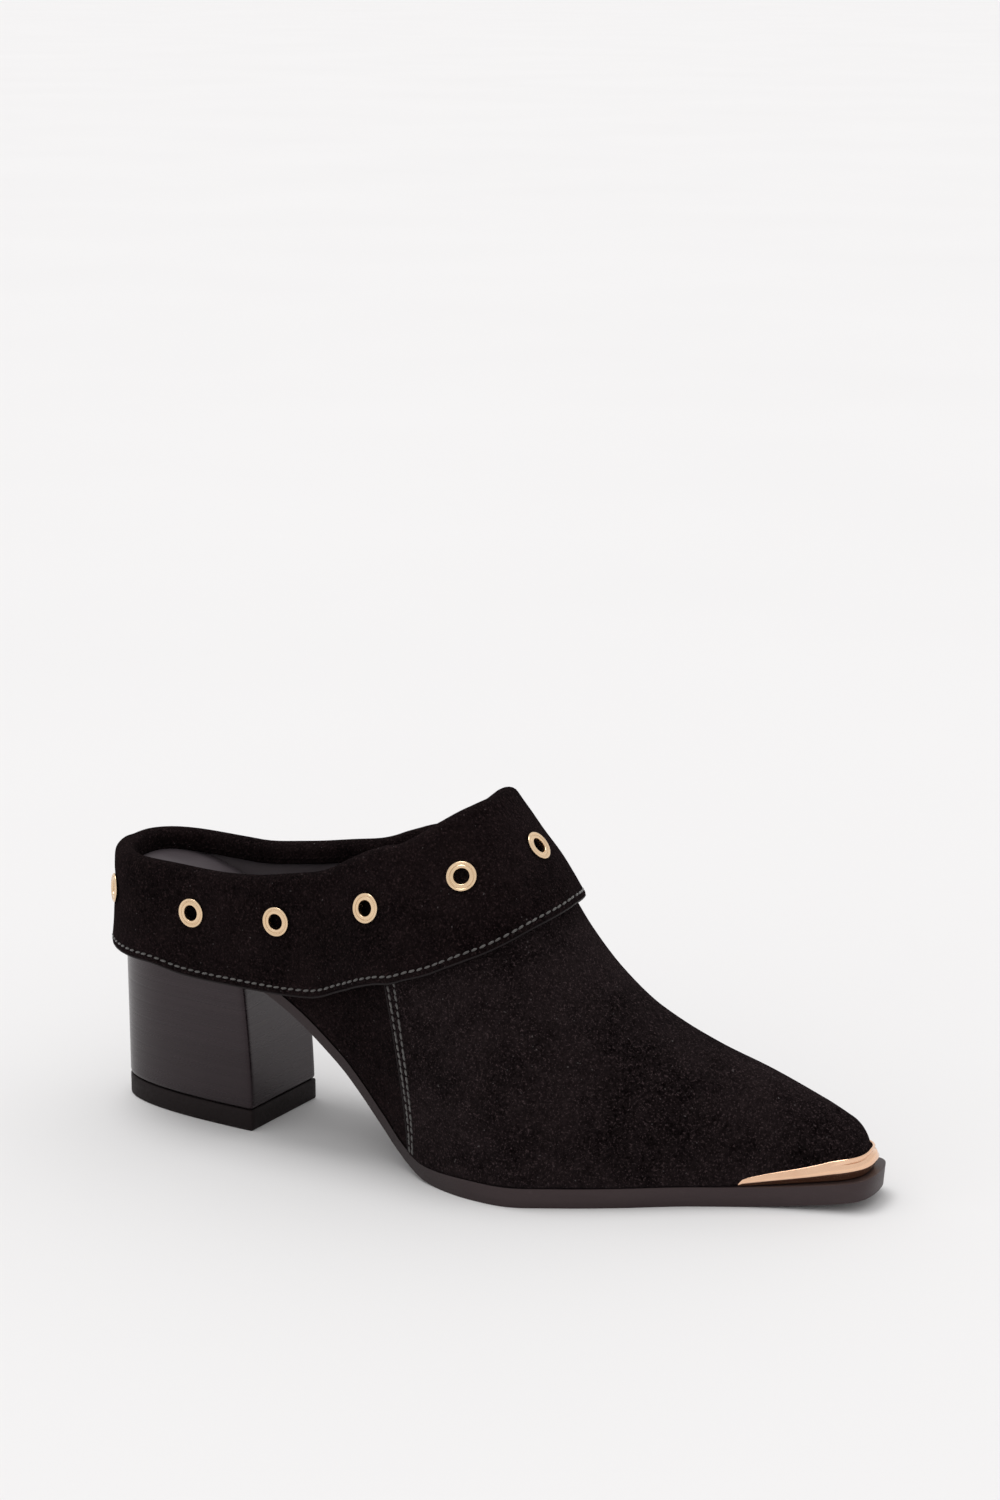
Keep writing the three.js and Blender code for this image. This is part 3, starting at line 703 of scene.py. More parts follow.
def lining_leather(name, dark, light):
    finish = Finish(name, Metallic=0.0, Coat_Roughness=0.3, Specular_IOR_Level=0.45)
    pores = finish.cells(0.9)
    cloud = finish.grain(18, 3, 0.55)
    fine = finish.grain(0.6, 3, 0.6)
    base = finish.colour(dark, light, cloud * 0.7 + fine * 0.3)
    return finish.paint(
        Base_Color=base,
        Roughness=cloud.between(0.3, 0.7, 0.36, 0.5),
        Normal=finish.relief(pores * 0.6 + fine * 0.4, 0.05),
    )


def metal(name, dark, light, rough, brushed):
    finish = Finish(name, Specular_IOR_Level=0.5)
    cloud = finish.grain(5, 3, 0.6)
    scratches = finish.grain(0.5, 3, 0.7, (6, 6, 0.35))
    return finish.paint(
        Base_Color=finish.colour(dark, light, cloud),
        Metallic=cloud.between(0, 1, 0.985, 1.0),
        Roughness=cloud.between(0.3, 0.75, rough, rough + 0.09),
        Normal=finish.relief(scratches, brushed),
    )


def thread():
    finish = Finish("thread", Metallic=0.0, Sheen_Weight=0.2)
    twist = finish.grain(0.25, 2, 0.5)
    worn = finish.grain(6, 3, 0.6)
    base = finish.colour((0.02, 0.018, 0.0175), (0.105, 0.098, 0.092), worn)
    return finish.paint(
        Base_Color=base,
        Roughness=twist.between(0.3, 0.7, 0.35, 0.6),
        Normal=finish.relief(twist, 0.06),
    )


def edge_paint():
    finish = Finish("edge_paint", Metallic=0.0, Specular_IOR_Level=0.25, Specular_Tint=(1, 0.85, 0.87, 1))
    fine = finish.grain(0.8, 3, 0.6)
    base = finish.colour((0.003, 0.0024, 0.0025), (0.008, 0.0065, 0.0065), fine)
    return finish.paint(
        Base_Color=base,
        Roughness=fine.between(0.3, 0.7, 0.5, 0.66),
        Normal=finish.relief(fine, 0.04),
    )


VAMP_SUEDE = suede("vamp_suede", (0.021, 0.0145, 0.0151))
CUFF_SUEDE = suede("cuff_suede", (0.0125, 0.0076, 0.0078))
SOLE_LEATHER = sole_leather()
HEEL_STACK = heel_stack()
TIP_RUBBER = tip_rubber()
LINING = lining_leather("lining_leather", (0.07, 0.058, 0.062), (0.115, 0.096, 0.103))
SOCK = lining_leather("sock_leather", (0.05, 0.04, 0.045), (0.085, 0.07, 0.077))
PALE_GOLD = metal("pale_gold", (0.72, 0.50, 0.30), (0.90, 0.69, 0.47), rough=0.2, brushed=0.012)
ROSE_GOLD = metal("rose_gold", (0.82, 0.50, 0.33), (0.92, 0.62, 0.43), rough=0.07, brushed=0.004)
THREAD = thread()
EDGE_PAINT = edge_paint()


# Sole


def across_point(edge, along, across):
    """Point between the two sides of an outline"""
    return edge(along, -1).lerp(edge(along, 1), across)


def board(edge_low, edge_high, low, high, columns, rows):
    """Closed board between two surfaces over the plan of the sole"""
    bm = grid(rows, columns, lambda u, v: across_point(edge_low, v, u), folded=True)
    across = bm.verts.layers.float["across"]
    upward = bm.verts.layers.float["upward"]
    made = bmesh.ops.extrude_face_region(bm, geom=bm.faces[:])
    top = {item for item in made["geom"] if isinstance(item, bmesh.types.BMVert)}
    for vert in bm.verts:
        u, v = vert[across], vert[upward]
        edge, height = (edge_high, high) if vert in top else (edge_low, low)
        point = across_point(edge, v, u)
        vert.co = Vector((point.x, point.y, height(point.x, u)))
    face_outward(bm)
    return bm


def outsole():
    bm = board(
        lambda along, side: outline(along, side, lambda _: SOLE_SIDE_INSET),
        lambda along, side: outline(along, side, lambda _: 0),
        lambda x, u: underside(x),
        lambda x, u: sole_top(x),
        columns=150,
        rows=16,
    )
    soften(bm, angle=40, radius=0.55, segments=3)
    return piece("outsole_leather", bm, SOLE_LEATHER, "sole_leather", "outsole")


def insole():
    def edge(along, side):
        return feather(along, side) - feather_out(along, side) * (UPPER_WALL + INSOLE_GAP)

    def top(x, u):
        cup = abs(2 * u - 1) ** 4
        return sole_top(x) + CLEARANCE + INSOLE_THICKNESS - 0.5 + cup * 0.7

    bm = board(edge, edge, lambda x, u: sole_top(x) + CLEARANCE, top, columns=120, rows=20)
    soften(bm, angle=50, radius=0.8, segments=3)
    return piece("sock", bm, SOCK, "lining", "insole")


# Heel


def heel_plan(share, turn):
    """Point of the heel's outline at a share of its height. turn: -1 and 1 at the breast, 0 at the back."""
    round_share = abs(turn)
    angle = math.pi / 2 * round_share
    side = 1 if turn > 0 else -1
    breast = math.acos(1 - 2 * BREAST_PLACE) / math.pi
    x = TIP_LENGTH / 2 - max(math.cos(angle), 0) ** (2 / HEEL_CURVE) * TIP_LENGTH
    y = side * math.sin(angle) ** (2 / HEEL_CURVE) * TIP_WIDTH / 2
    turned = Matrix.Rotation(math.radians(-HEEL_TURN), 3, "Z") @ Vector((x, y, 0))
    seat = outline(round_share * breast, side, lambda _: SOLE_SIDE_INSET)
    return turned.lerp(seat, share**HEEL_SPREAD)


def heel_wall(low, high, levels, spread=1):
    """Wall of the heel between two heights, closed by a flat breast and two ends.
    spread: the share of the way from the tip's outline to the seat's that its top has"""
    sides, breast = 96, 16

    def place(u, v):
        share = spread * v
        station = u * (sides + breast)
        if station <= sides:
            point = heel_plan(share, 2 * station / sides - 1)
        else:
            across = (station - sides) / breast
            point = heel_plan(share, 1).lerp(heel_plan(share, -1), across)
        return Vector((point.x, point.y, lerp(low(point.x), high(point.x), v)))

    bm = grid(sides + breast, levels, place, closed=True)
    rims = [edge for edge in bm.edges if edge.is_boundary]
    bmesh.ops.holes_fill(bm, edges=rims, sides=0)
    face_outward(bm)
    return bm


def heel():
    bm = heel_wall(lambda x: TIP_THICKNESS + HEEL_JOINT, lambda x: underside(x) - HEEL_JOINT, levels=30)
    soften(bm, angle=50, radius=1.3, segments=4)
    return piece("heel_block", bm, HEEL_STACK, "heel_stack", "heel")


def heel_tip():
    bm = heel_wall(lambda x: 0, lambda x: TIP_THICKNESS, levels=3, spread=0)
    soften(bm, angle=50, radius=0.5, segments=2)
    return piece("heel_tip_rubber", bm, TIP_RUBBER, "tip_rubber", "heel_tip")


# Upper


def lap(point, row):
    """How far the vamp stands out over the quarter; it thins out under the cuff"""
    if row >= SEAM_ROW:
        return 0
    edge = collar_height(point.x, math.copysign(1, point.y - spine_y(point.x)))
    return VAMP_RAISE * (1 - smoothstep(point.z, edge - LAP_FADE[0], edge - LAP_FADE[1]))


def skin(first, last, per_row, rows, raised):
    """The last's surface from a section on the inner side, round the toe or the back, to the same section
    on the outer side. first: the row at the toe or the back. last: the row where the surface ends."""
    steps = round(abs(last - first) * per_row)
    # Sections crowd towards the throat, where the collar's edge turns
    crowding = 1.8
    stops = []
    for i in range(steps + 1):
        row = lerp(last, first, i / steps)
        whole = math.floor(row)
        if whole == THROAT_ROW:
            row = whole + (row - whole) ** crowding
        stops.append(row)
    sections = {(i, side): Section(row, side) for i, row in enumerate(stops) for side in (-1, 1)}

    def place(u, v):
        station = round(abs(u - 0.5) * 2 * steps)
        side = 1 if u < 0.5 else -1
        section = sections[steps - station, side]
        return section.at(section.limit * v)

    bm = grid(2 * steps, rows, place, folded=True)
    across = bm.verts.layers.float["across"]
    upward = bm.verts.layers.float["upward"]
    row_layer = bm.verts.layers.float.new("row")
    face_outward(bm)
    bm.normal_update()
    inside = Vector((85, 0, 30))
    farthest = max(bm.faces, key=lambda face: (face.calc_center_median() - inside).length)
    if farthest.normal.dot(farthest.calc_center_median() - inside) < 0:
        bmesh.ops.reverse_faces(bm, faces=bm.faces[:])
        bm.normal_update()
    for vert in bm.verts:
        station = round(abs(vert[across] - 0.5) * 2 * steps)
        vert[row_layer] = stops[steps - station]
    moves = []
    for vert, normal in zip(bm.verts, steady_normals(bm)):
        if vert[upward] < 1e-6:
            normal.z = 0
            normal.normalize()
        moves.append(normal * raised(vert.co, vert[row_layer], vert[upward]))
    for vert, move in zip(bm.verts, moves):
        vert.co += move
    bm.normal_update()
    return bm


def uneven(point):
    """Soft hollows and swells of suede over a last"""
    return wave(point, 34, 0.42, 3) + wave(point, 13, 0.14, 8)


def thicken(bm, thickness):
    """Gives a skin its thickness inward"""
    inward = [(vert, -normal * thickness) for vert, normal in zip(bm.verts, steady_normals(bm))]
    bmesh.ops.extrude_face_region(bm, geom=bm.faces[:])
    for vert, move in inward:
        vert.co += move
    face_outward(bm)


def vamp():
    def raised(point, row, up):
        edge_roll = smoothstep(row, SEAM_ROW - 0.06, SEAM_ROW)
        foot = 1 - smoothstep(up, 0, 0.02)
        calm = smoothstep(up, 0, 0.12)
        tucked = edge_roll * 0.25
        return lap(point, min(row, SEAM_ROW - 1e-3)) - tucked - foot * 0.2 + uneven(point) * calm

    bm = skin(0, SEAM_ROW, per_row=15, rows=90, raised=raised)
    thicken(bm, SUEDE_THICKNESS)
    return piece("vamp", bm, VAMP_SUEDE, "suede", "upper")


def quarter():
    def raised(point, row, up):
        foot = 1 - smoothstep(up, 0, 0.03)
        calm = smoothstep(up, 0, 0.2) * (1 - smoothstep(up, 0.8, 1))
        return -foot * 0.15 + uneven(point) * 0.5 * calm - 0.03

    bm = skin(LAST_ROW, SEAM_ROW - 0.5, per_row=12, rows=70, raised=raised)
    thicken(bm, SUEDE_THICKNESS)
    return piece("quarter", bm, CUFF_SUEDE, "suede")


def lining():
    def raised(point, row, up):
        return -SUEDE_THICKNESS - 0.15 + wave(point, 20, 0.15, 5)

    bm = skin(0, LAST_ROW, per_row=9, rows=50, raised=raised)
    thicken(bm, UPPER_WALL - SUEDE_THICKNESS - 0.2)
    return piece("lining_wall", bm, LINING, "lining")


# Cuff


class Collar:
    """The collar's edge once round by length, from the throat over the inner side to the back and home"""

    def __init__(self):
        fine = 90
        crowding = 1.5
        stops = []
        for i in range(2 * fine):
            side = 1 if i <= fine else -1
            share = 1 - abs(1 - i / fine)
            row = THROAT_ROW + (LAST_ROW - THROAT_ROW) * share**crowding
            section = Section(row, side)
            stops.append(section.at(section.limit))
        self.stops = stops + [stops[0]]
        self.lengths = [0]
        for a, b in zip(self.stops, self.stops[1:]):
            self.lengths.append(self.lengths[-1] + (b - a).length)

    def at(self, turn):
        wanted = (turn % 1) * self.lengths[-1]
        i = 1
        while self.lengths[i] < wanted:
            i += 1
        share = (wanted - self.lengths[i - 1]) / (self.lengths[i] - self.lengths[i - 1])
        return self.stops[i - 1].lerp(self.stops[i], share)

    def out(self, turn):
        step = 0.006
        tangent = self.at(turn + step) - self.at(turn - step)
        return Vector((tangent.y, -tangent.x, 0)).normalized()


def bend_length():
    """Length of the cuff's way over the collar's edge"""
    return math.pi * (UPPER_WALL / 2 + CUFF_CLEARANCE)


class Fold:
    """Section of the cuff at a place round the collar: the way over the upper, down from the edge"""

    # Probes down the upper, how many of them lie below the cuff, and the one that gives its lean at the top
    probes = 44
    below_edge = 4
    lean_probe = 4

    def __init__(self, collar, surface, turn):
        self.edge = collar.at(turn)
        self.out = collar.out(turn)
        share = 1 - abs(1 - 2 * (turn % 1))
        self.depth = CUFF_DEPTH * read(CUFF, "depth", share, "turn")
        self.eyelets = CUFF_DEPTH * read(CUFF, "eyelets", share, "turn")
        self.drop = self.depth / (self.probes - self.below_edge)
        self.reach = [0]
        for i in range(1, self.probes + 1):
            source = self.edge + self.out * BALL_WIDTH - UP * i * self.drop
            hit = surface.ray_cast(source, -self.out)
            found = BALL_WIDTH - hit[3] if hit[0] else 0
            self.reach.append(max(self.reach[-1], found))

    def settle(self):
        """Measures the way down once its neighbours have evened it out"""
        self.line = [Vector((r, -i * self.drop)) for i, r in enumerate(self.reach)]
        self.lengths = [0]
        for a, b in zip(self.line, self.line[1:]):
            self.lengths.append(self.lengths[-1] + (b - a).length)
        self.start = self.line[self.lean_probe].normalized()
        self.away = Vector((-self.start.y, self.start.x))

    def place(self, p):
        return self.edge + self.out * p.x + UP * p.y

    def at(self, distance, gap):
        i = 1
        while i < len(self.line) - 1 and self.lengths[i] < distance:
            i += 1
        share = (distance - self.lengths[i - 1]) / (self.lengths[i] - self.lengths[i - 1])
        p = self.line[i - 1].lerp(self.line[i], share)
        before, after = self.line[max(0, i - 4)], self.line[min(len(self.line) - 1, i + 3)]
        along = (after - before).normalized()
        return self.place(p + Vector((-along.y, along.x)) * gap)

    def over(self, distance, gap):
        """Point over the collar's edge: distance below 0 is inside, along the facing"""
        bend = UPPER_WALL / 2 + gap
        turn_length = bend_length()
        centre = self.away * (-UPPER_WALL / 2)
        if distance >= 0:
            flare = CUFF_FLARE * distance / self.depth
            return self.at(distance, gap + flare)
        if distance > -turn_length:
            angle = math.pi * (1 + distance / turn_length)
            return self.place(centre - (self.away * math.cos(angle) + self.start * math.sin(angle)) * bend)
        down = -distance - turn_length
        return self.place(centre - self.away * bend + self.start * down)


def even_out(rows, half, times):
    """Averages each row of a closed loop with its neighbours"""
    count = len(rows)
    for _ in range(times):
        sums = [sum(column) for column in zip(*(rows[k] for k in range(-half, half + 1)))]
        made = []
        for i in range(count):
            made.append([total / (2 * half + 1) for total in sums])
            leaving, coming = rows[i - half], rows[(i + half + 1) % count]
            sums = [total - a + b for total, a, b in zip(sums, leaving, coming)]
        rows = made
    return rows


def make_folds(surface, count):
    """Folds round the collar, evened out with their neighbours but hardly sunk into the upper"""
    sink = 0.3
    collar = Collar()
    folds = [Fold(collar, surface, i / count) for i in range(count)]
    found = [fold.reach for fold in folds]
    evened = even_out(found, half=12, times=3)
    evened = [[max(a, b - sink) for a, b in zip(soft, hard)] for soft, hard in zip(evened, found)]
    evened = even_out(evened, half=2, times=3)
    directions = even_out([list(fold.out) for fold in folds], half=6, times=2)
    for fold, reach, direction in zip(folds, evened, directions):
        fold.reach = reach
        fold.out = Vector(direction).normalized()
    for fold in folds:
        fold.settle()
    return folds


def on_cuff(folds, turn, distance, gap):
    """Point of the cuff at a place round the collar, between two folds"""
    station = (turn % 1) * len(folds)
    i = int(station)
    a = folds[i % len(folds)].over(distance, gap)
    b = folds[(i + 1) % len(folds)].over(distance, gap)
    return a.lerp(b, station - i)


def fold_value(folds, turn, name):
    """One of the folds' sizes at a place round the collar"""
    station = (turn % 1) * len(folds)
    i = int(station)
    a, b = getattr(folds[i % len(folds)], name), getattr(folds[(i + 1) % len(folds)], name)
    return lerp(a, b, station - i)


def cuff_way():
    """Stops down the cuff: distances as (share of its depth, millimetres from there)"""
    turn_length = bend_length()
    facing, bend, middle = 4, 10, 30
    edge, edge_step, edge_stops = 5, 0.28, 17
    stops = [(0, -turn_length - CUFF_FACING + CUFF_FACING * k / facing) for k in range(facing)]
    stops += [(0, -turn_length + turn_length * k / bend) for k in range(bend)]
    stops += [(k / middle, -edge * k / middle) for k in range(middle + 1)]
    stops += [(1, -edge + edge_step * k) for k in range(1, edge_stops + 1)]
    return stops


def hump(distance, middle, width, height):
    """A soft hump at a distance, or a trough where its height is below 0"""
    return height * math.exp(-(((distance - middle) / width) ** 2))


def cuff_gap(point, above, below, eyelets):
    """Outward unevenness of the cuff: ripples, the stitched edge and hollows round the eyelets"""
    groove = hump(below, EDGE_STITCH, 0.42, -0.24)
    roll = hump(below, 0.6, 0.5, 0.12)
    nearest = min((point - centre).length for centre, _ in eyelets)
    pull = hump(nearest, 4.6, 1.8, -0.28)
    ripple = wave(point, 30, 0.4, 11) + wave(point, 11, 0.2, 17)
    for hollow in HOLLOWS:
        place = Vector((hollow["x"], hollow["y"], hollow["z"]))
        groove -= hump((point - place).length, 0, hollow["size"], hollow["depth"])
    return groove + roll + pull + ripple * smoothstep(below, 0, 8) * smoothstep(above, 2, 14)


def cuff(folds, eyelets):
    """Closed band: down its inner face, round its lip, up its outer face and round its hidden end"""
    count = len(folds)
    way = cuff_way()
    last = len(way) - 1
    lip = 6
    ring = 2 * len(way) + 2 * lip
    half = CUFF_THICKNESS / 2
    inner = CUFF_CLEARANCE
    outer = CUFF_CLEARANCE + CUFF_THICKNESS

    def spot(fold, stop, gap):
        share, extra = way[stop]
        return fold.over(share * fold.depth + extra, gap)

    def rounded(near, far, before, step):
        """Point of a round end, from the near face to the far one"""
        angle = math.pi * step / (lip + 1)
        middle = (near + far) / 2
        along = (near - before).normalized()
        return middle - (far - middle) * math.cos(angle) + along * half * math.sin(angle)

    def place(u, v):
        fold = folds[round(u * count) % count]
        index = round(v * ring) % ring
        if index <= last:
            return spot(fold, index, inner)
        if index <= last + lip:
            end, before = spot(fold, last, inner), spot(fold, last - 3, inner)
            return rounded(end, spot(fold, last, outer), before, index - last)
        index -= last + lip + 1
        if index <= last:
            stop = last - index
            share, extra = way[stop]
            distance = share * fold.depth + extra
            point = spot(fold, stop, outer)
            swell = smoothstep(distance, -3, 4) * cuff_gap(point, distance, fold.depth - distance, eyelets)
            return spot(fold, stop, outer + swell)
        start, after = spot(fold, 0, inner), spot(fold, 2, inner)
        return rounded(start, spot(fold, 0, outer), after, lip - (index - last - 1))

    bm = grid(count, ring, place, closed=True)
    face_outward(bm)
    made = piece("cuff_band", bm, CUFF_SUEDE, "suede", "cuff")
    punch(made, eyelets)
    return made


def punch(made, eyelets):
    """Cuts the eyelets' holes"""
    bm = bmesh.new()
    radius = EYELET_BORE / 2 + EYELET_WALL + PUNCH_CLEARANCE
    for centre, out in eyelets:
        stand = UP.rotation_difference(out).to_matrix().to_4x4()
        bmesh.ops.create_cone(
            bm,
            cap_ends=True,
            segments=32,
            radius1=radius * MM,
            radius2=radius * MM,
            depth=PUNCH_DEPTH * MM,
            matrix=Matrix.Translation(centre * MM) @ stand,
        )
    mesh = bpy.data.meshes.new("punch")
    bm.to_mesh(mesh)
    bm.free()
    cutter = bpy.data.objects.new("punch", mesh)
    bpy.context.scene.collection.objects.link(cutter)
    cut = made.modifiers.new("holes", "BOOLEAN")
    cut.object = cutter
    cut.operation = "DIFFERENCE"
    cut.solver = "EXACT"
    bpy.context.view_layer.update()
    graph = bpy.context.evaluated_depsgraph_get()
    finished = bpy.data.meshes.new_from_object(made.evaluated_get(graph))
    made.modifiers.clear()
    made.data = finished
    bpy.data.objects.remove(cutter)


def fold_direction(folds, turn):
    """Way out of the shoe at a place round the collar"""
    return folds[int((turn % 1) * len(folds)) % len(folds)].out


def eyelet_places(folds):
    """Centre and way out of each eyelet"""
    count = 240
    outer = CUFF_CLEARANCE + CUFF_THICKNESS

    def at(turn, shift):
        return on_cuff(folds, turn, fold_value(folds, turn, "eyelets") + shift, outer)

    line = [at(i / count, 0) for i in range(count + 1)]
    lengths = [0]
    for a, b in zip(line, line[1:]):
        lengths.append(lengths[-1] + (b - a).length)
    places = []
    for index in range(EYELET_COUNT):
        wanted = (lengths[-1] * index / EYELET_COUNT + EYELET_SHIFTS.get(index, 0)) % lengths[-1]
        i = 1
        while lengths[i] < wanted:
            i += 1
        turn = (i - 1 + (wanted - lengths[i - 1]) / (lengths[i] - lengths[i - 1])) / count
        half = EYELET_DIAMETER / 2
        step = half / lengths[-1]
        along = (at(turn + step, 0) - at(turn - step, 0)).normalized()
        down = (at(turn, half) - at(turn, -half)).normalized()
        out = down.cross(along).normalized()
        if out.dot(fold_direction(folds, turn)) < 0:
            out.negate()
        places.append((at(turn, 0), out))
    return places


def eyelet(index, centre, out):
    """A rolled flange on a short barrel. Its profile gives radius and height over the cuff."""
    bore, rim = EYELET_BORE / 2, EYELET_DIAMETER / 2
    barrel = -1.9
    profile = [
        (bore, barrel),
        (bore, 0.3),
        (bore + 0.12, 0.52),
        (bore + 0.35, 0.62),
        (bore + 0.6, 0.6),
        (bore + 1.0, 0.56),
        (bore + 1.12, 0.28),
        (bore + 1.42, 0.28),
        (bore + 1.55, 0.58),
        (rim - 0.45, 0.62),
        (rim - 0.15, 0.48),
        (rim, 0.15),
        (rim - 0.15, -0.02),
        (bore + EYELET_WALL, -0.02),
        (bore + EYELET_WALL, barrel),
    ]
    bm = bmesh.new()
    verts = [bm.verts.new((radius, 0, height)) for radius, height in profile]
    edges = [bm.edges.new((a, b)) for a, b in zip(verts, verts[1:] + verts[:1])]
    bmesh.ops.spin(
        bm,
        geom=verts + edges,
        cent=(0, 0, 0),
        axis=(0, 0, 1),
        angle=2 * math.pi,
        steps=48,
        use_merge=True,
        use_duplicate=False,
    )
    bmesh.ops.remove_doubles(bm, verts=bm.verts, dist=1e-4)
    face_outward(bm)
    stand = UP.rotation_difference(out).to_matrix().to_4x4()
    bmesh.ops.transform(bm, matrix=Matrix.Translation(centre) @ stand, verts=bm.verts)
    return piece(f"eyelet_ring_{index:02d}", bm, PALE_GOLD, "pale_gold", f"eyelet_{index:02d}")


# Stitches


def stitch_row(name, stitches, material):
    """Short slanted stitches. Each is a centre, a way along and a way out."""
    rng = random.Random(name)
    bm = bmesh.new()
    for centre, along, out in stitches:
        side = out.cross(along).normalized()
        turned = (along + side * rng.uniform(0.1, 0.2)).normalized()
        side = out.cross(turned).normalized()
        axes = Matrix((turned, side, out)).transposed().to_4x4()
        half = STITCH_LENGTH / 2 * rng.uniform(0.92, 1.06)
        size = Matrix.Diagonal((half, STITCH_RADIUS * 1.05, STITCH_RADIUS, 1))
        bmesh.ops.create_uvsphere(
            bm,
            u_segments=8,
            v_segments=6,
            radius=1,
            matrix=Matrix.Translation(centre) @ axes @ size @ Matrix.Rotation(math.pi / 2, 4, "Y"),
        )
    return piece(name, bm, material, "suede")


def cuff_stitches(folds, name, distance_at, gap, material):
    """A row of stitches round the cuff, at a distance down it and a height over the upper"""
    count = 1200
    line = [on_cuff(folds, i / count, distance_at(i / count), gap) for i in range(count)]
    base = [on_cuff(folds, i / count, distance_at(i / count), 0) for i in range(count)]
    stitches = []
    travelled = 0
    for i in range(count):
        here, after = line[i], line[(i + 1) % count]
        travelled += (after - here).length
        if travelled >= STITCH_PITCH:
            travelled -= STITCH_PITCH
            along = (line[(i + 3) % count] - line[i - 3]).normalized()
            out = (here - base[i]).normalized()
            stitches.append((here, along, out))
    return stitch_row(name, stitches, material)


def seam_stitches(side, offset, index):
    """A row of stitches on the vamp beside its back edge"""
    name = f"seam_thread_{'outer' if side < 0 else 'inner'}_{index}"
    step = 0.05
    low, reach, count = 0.01, 0.75, 120
    points = []
    for k in range(count + 1):
        share = low + reach * k / count
        here, _ = form_point(SEAM_ROW, side, share, 0)
        ahead, _ = form_point(SEAM_ROW - step, side, share, 0)
        row = SEAM_ROW - step * offset / (ahead - here).length
        base, normal = form_point(row, side, share, 0)
        raise_by = lap(base, row) + uneven(base) * smoothstep(share, 0, 0.12) + 0.05
        points.append((base + normal * raise_by, normal))
    stitches = []
    travelled = STITCH_PITCH / 2
    for i in range(1, len(points) - 1):
        (here, normal), (after, _) = points[i], points[i + 1]
        travelled += (after - here).length
        if travelled >= SEAM_PITCH:
            travelled -= SEAM_PITCH
            stitches.append((here, (after - here).normalized(), normal))
    return stitch_row(name, stitches, THREAD)


def seam_edge(side):
    """The cut edge of the vamp, painted, as a bead along the seam"""
    name = f"vamp_edge_{'outer' if side < 0 else 'inner'}"
    rings, around = 70, 8
    low, reach = 0.005, 0.8
    height, width = SEAM_EDGE

    def place(u, v):
        share = low + reach * v
        base, normal = form_point(SEAM_ROW, side, share, 0)
        above, _ = form_point(SEAM_ROW, side, share + 0.01, 0)
        along = (above - base).normalized()
        back = normal.cross(along)
        angle = 2 * math.pi * u
        raise_by = lap(base, SEAM_ROW - 1e-3) * 0.5
        return base + normal * (raise_by + math.sin(angle) * height) + back * math.cos(angle) * width

    bm = grid(around, rings, place, closed=True)
    bmesh.ops.holes_fill(bm, edges=[edge for edge in bm.edges if edge.is_boundary], sides=0)
    face_outward(bm)
    return piece(name, bm, EDGE_PAINT, "suede")


def cuff_edge(folds):
    """Painted lower edge of the cuff"""
    count, around = len(folds), 10
    width, height = CUFF_EDGE

    def place(u, v):
        fold = folds[round(v * count) % count]
        middle = fold.over(fold.depth + CUFF_EDGE_DROP, CUFF_CLEARANCE + CUFF_THICKNESS * 0.55)
        outer = fold.over(fold.depth + CUFF_EDGE_DROP, CUFF_CLEARANCE + CUFF_THICKNESS)
        out = (outer - middle).normalized()
        angle = 2 * math.pi * u
        return middle + out * math.cos(angle) * width + UP * math.sin(angle) * height - UP * CUFF_EDGE_DROP

    bm = grid(around, count, place, closed=True)
    face_outward(bm)
    return piece("cuff_edge", bm, EDGE_PAINT, "suede")


# Toe rim


def toe_rim():
    """A metal strip round the toe: its upper face leans back, its lower face is tucked in"""
    steps = 70
    heights = {}

    def place(u, v):
        station = (u - 0.5) * 2
        side = 1 if station < 0 else -1
        row = RIM_END_ROW * abs(station)
        shape = (1 - row / RIM_END_ROW) ** RIM_FALL
        height = lerp(RIM_END_HEIGHT, RIM_HEIGHT, shape) - RIM_TIP_DROP * (1 - smoothstep(row, 0, 2.6))
        spot = RIM[round(v * len(RIM)) % len(RIM)]
        stand = lerp(spot["fluted"], spot["plain"], smoothstep(row, 1.3, 2.6))
        key = (round(u * 4 * steps), spot["share"])
        if key not in heights:
            section = Section(row, side)
            foot = section.at(0).z
            heights[key] = solve(lambda t: section.at(t).z - foot, height * spot["share"], 0, 0.6)
        thin = lerp(0.05, 1, smoothstep(shape, 0, 0.7))
        point, _ = form_point(row, side, heights[key], VAMP_RAISE + stand * thin)
        point.z = max(point.z, sole_top(point.x) + 0.08)
        return point

    bm = grid(2 * steps, len(RIM), place, closed=True)
    bmesh.ops.holes_fill(bm, edges=[edge for edge in bm.edges if edge.is_boundary], sides=0)
    face_outward(bm)
    return piece("toe_metal", bm, ROSE_GOLD, "rose_gold", "toe_rim")


def build():
    outsole()
    insole()
    heel()
    heel_tip()
    vamp()
    quarter()
    lining()
    form = skin(0, LAST_ROW, per_row=12, rows=70, raised=lambda point, row, up: lap(point, row))
    surface = BVHTree.FromBMesh(form)
    folds = make_folds(surface, 300)
    form.free()
    eyelets = eyelet_places(folds)
    cuff(folds, eyelets)
    cuff_edge(folds)
    for index, (centre, out) in enumerate(eyelets):
        eyelet(index, centre, out)
    top = CUFF_CLEARANCE + CUFF_THICKNESS
    sunk, proud = top - 0.12, top + 0.05
    facing = FACING_STITCH - CUFF_FACING - bend_length()

    def above_edge(turn):
        return fold_value(folds, turn, "depth") - EDGE_STITCH

    cuff_stitches(folds, "cuff_thread", above_edge, sunk, THREAD)
    cuff_stitches(folds, "facing_thread", lambda _: facing, proud, CUFF_SUEDE)
    for side in (-1, 1):
        seam_edge(side)
        for index, offset in enumerate(SEAM_STITCHES):
            seam_stitches(side, offset, index)
    toe_rim()


build()


# Floor, light and camera


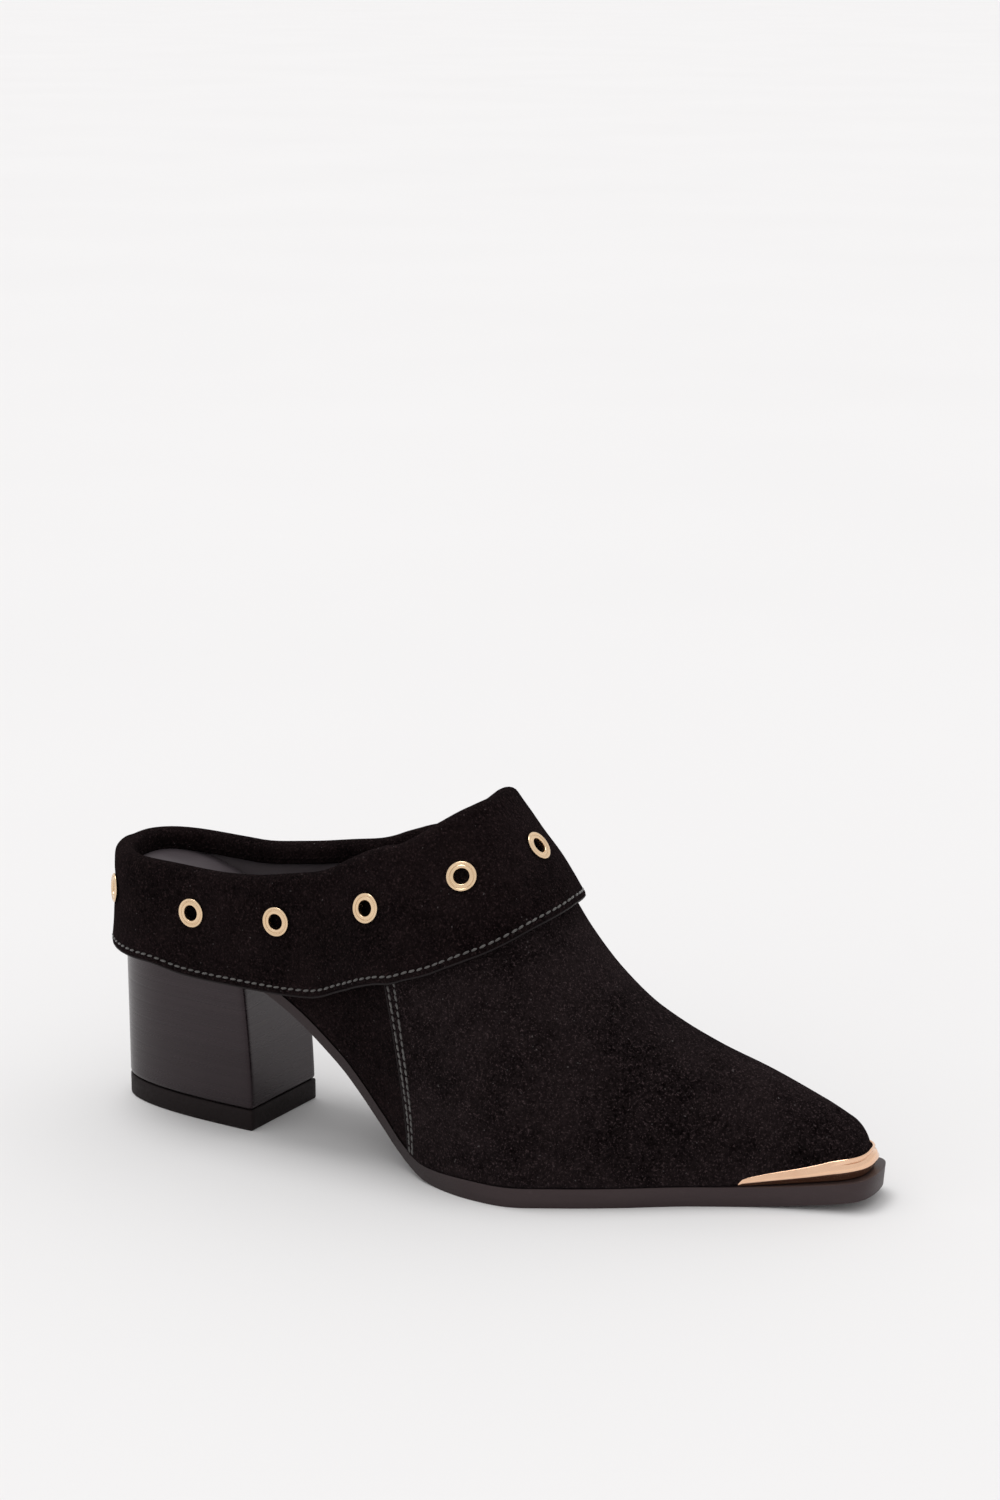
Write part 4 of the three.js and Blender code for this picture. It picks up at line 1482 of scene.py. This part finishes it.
def floor():
    """A wide sheet of pale paper"""
    bm = bmesh.new()
    bmesh.ops.create_grid(bm, x_segments=1, y_segments=1, size=FLOOR_REACH)
    mesh = bpy.data.meshes.new("floor")
    bm.to_mesh(mesh)
    bm.free()
    made = bpy.data.objects.new("floor", mesh)
    bpy.context.scene.collection.objects.link(made)
    paper = Finish("floor_paper", Roughness=0.9, Specular_IOR_Level=0.1)
    cloud = paper.grain(400, 2, 0.5)
    tone = paper.colour((0.80, 0.79, 0.79), (0.83, 0.82, 0.82), cloud)
    mesh.materials.append(paper.paint(Base_Color=tone))


def studio():
    """Soft light from all round, brighter towards the horizon, and a wide window above"""
    world = bpy.data.worlds.new("studio")
    bpy.context.scene.world = world
    world.use_nodes = True
    tree = world.node_tree
    sky = tree.nodes["Background"]
    sky.inputs["Color"].default_value = (1, 1, 1, 1)
    direction = tree.nodes.new("ShaderNodeTexCoord")
    split = tree.nodes.new("ShaderNodeSeparateXYZ")
    fade = tree.nodes.new("ShaderNodeMapRange")
    fade.interpolation_type = "SMOOTHSTEP"
    for socket, value in HORIZON.items():
        fade.inputs[socket].default_value = value
    tree.links.new(direction.outputs["Generated"], split.inputs[0])
    tree.links.new(split.outputs[2], fade.inputs["Value"])
    tree.links.new(fade.outputs[0], sky.inputs["Strength"])
    lamp = bpy.data.lights.new("window", "SUN")
    lamp.energy = WINDOW_STRENGTH
    lamp.angle = math.radians(WINDOW_ANGLE)
    made = bpy.data.objects.new("window", lamp)
    bpy.context.scene.collection.objects.link(made)
    made.rotation_euler = Vector(WINDOW_WAY).to_track_quat("-Z", "Y").to_euler()
    bpy.context.scene.view_settings.view_transform = "Standard"


def camera():
    lens = bpy.data.cameras.new("camera")
    lens.sensor_fit = "AUTO"
    lens.sensor_width = 36
    lens.lens = CAMERA_LENS
    lens.clip_end = 100
    made = bpy.data.objects.new("camera", lens)
    bpy.context.scene.collection.objects.link(made)
    made.location = CAMERA_PLACE
    made.rotation_euler = Vector(CAMERA_WAY).to_track_quat("-Z", "Y").to_euler()
    bpy.context.scene.camera = made


floor()
studio()
camera()
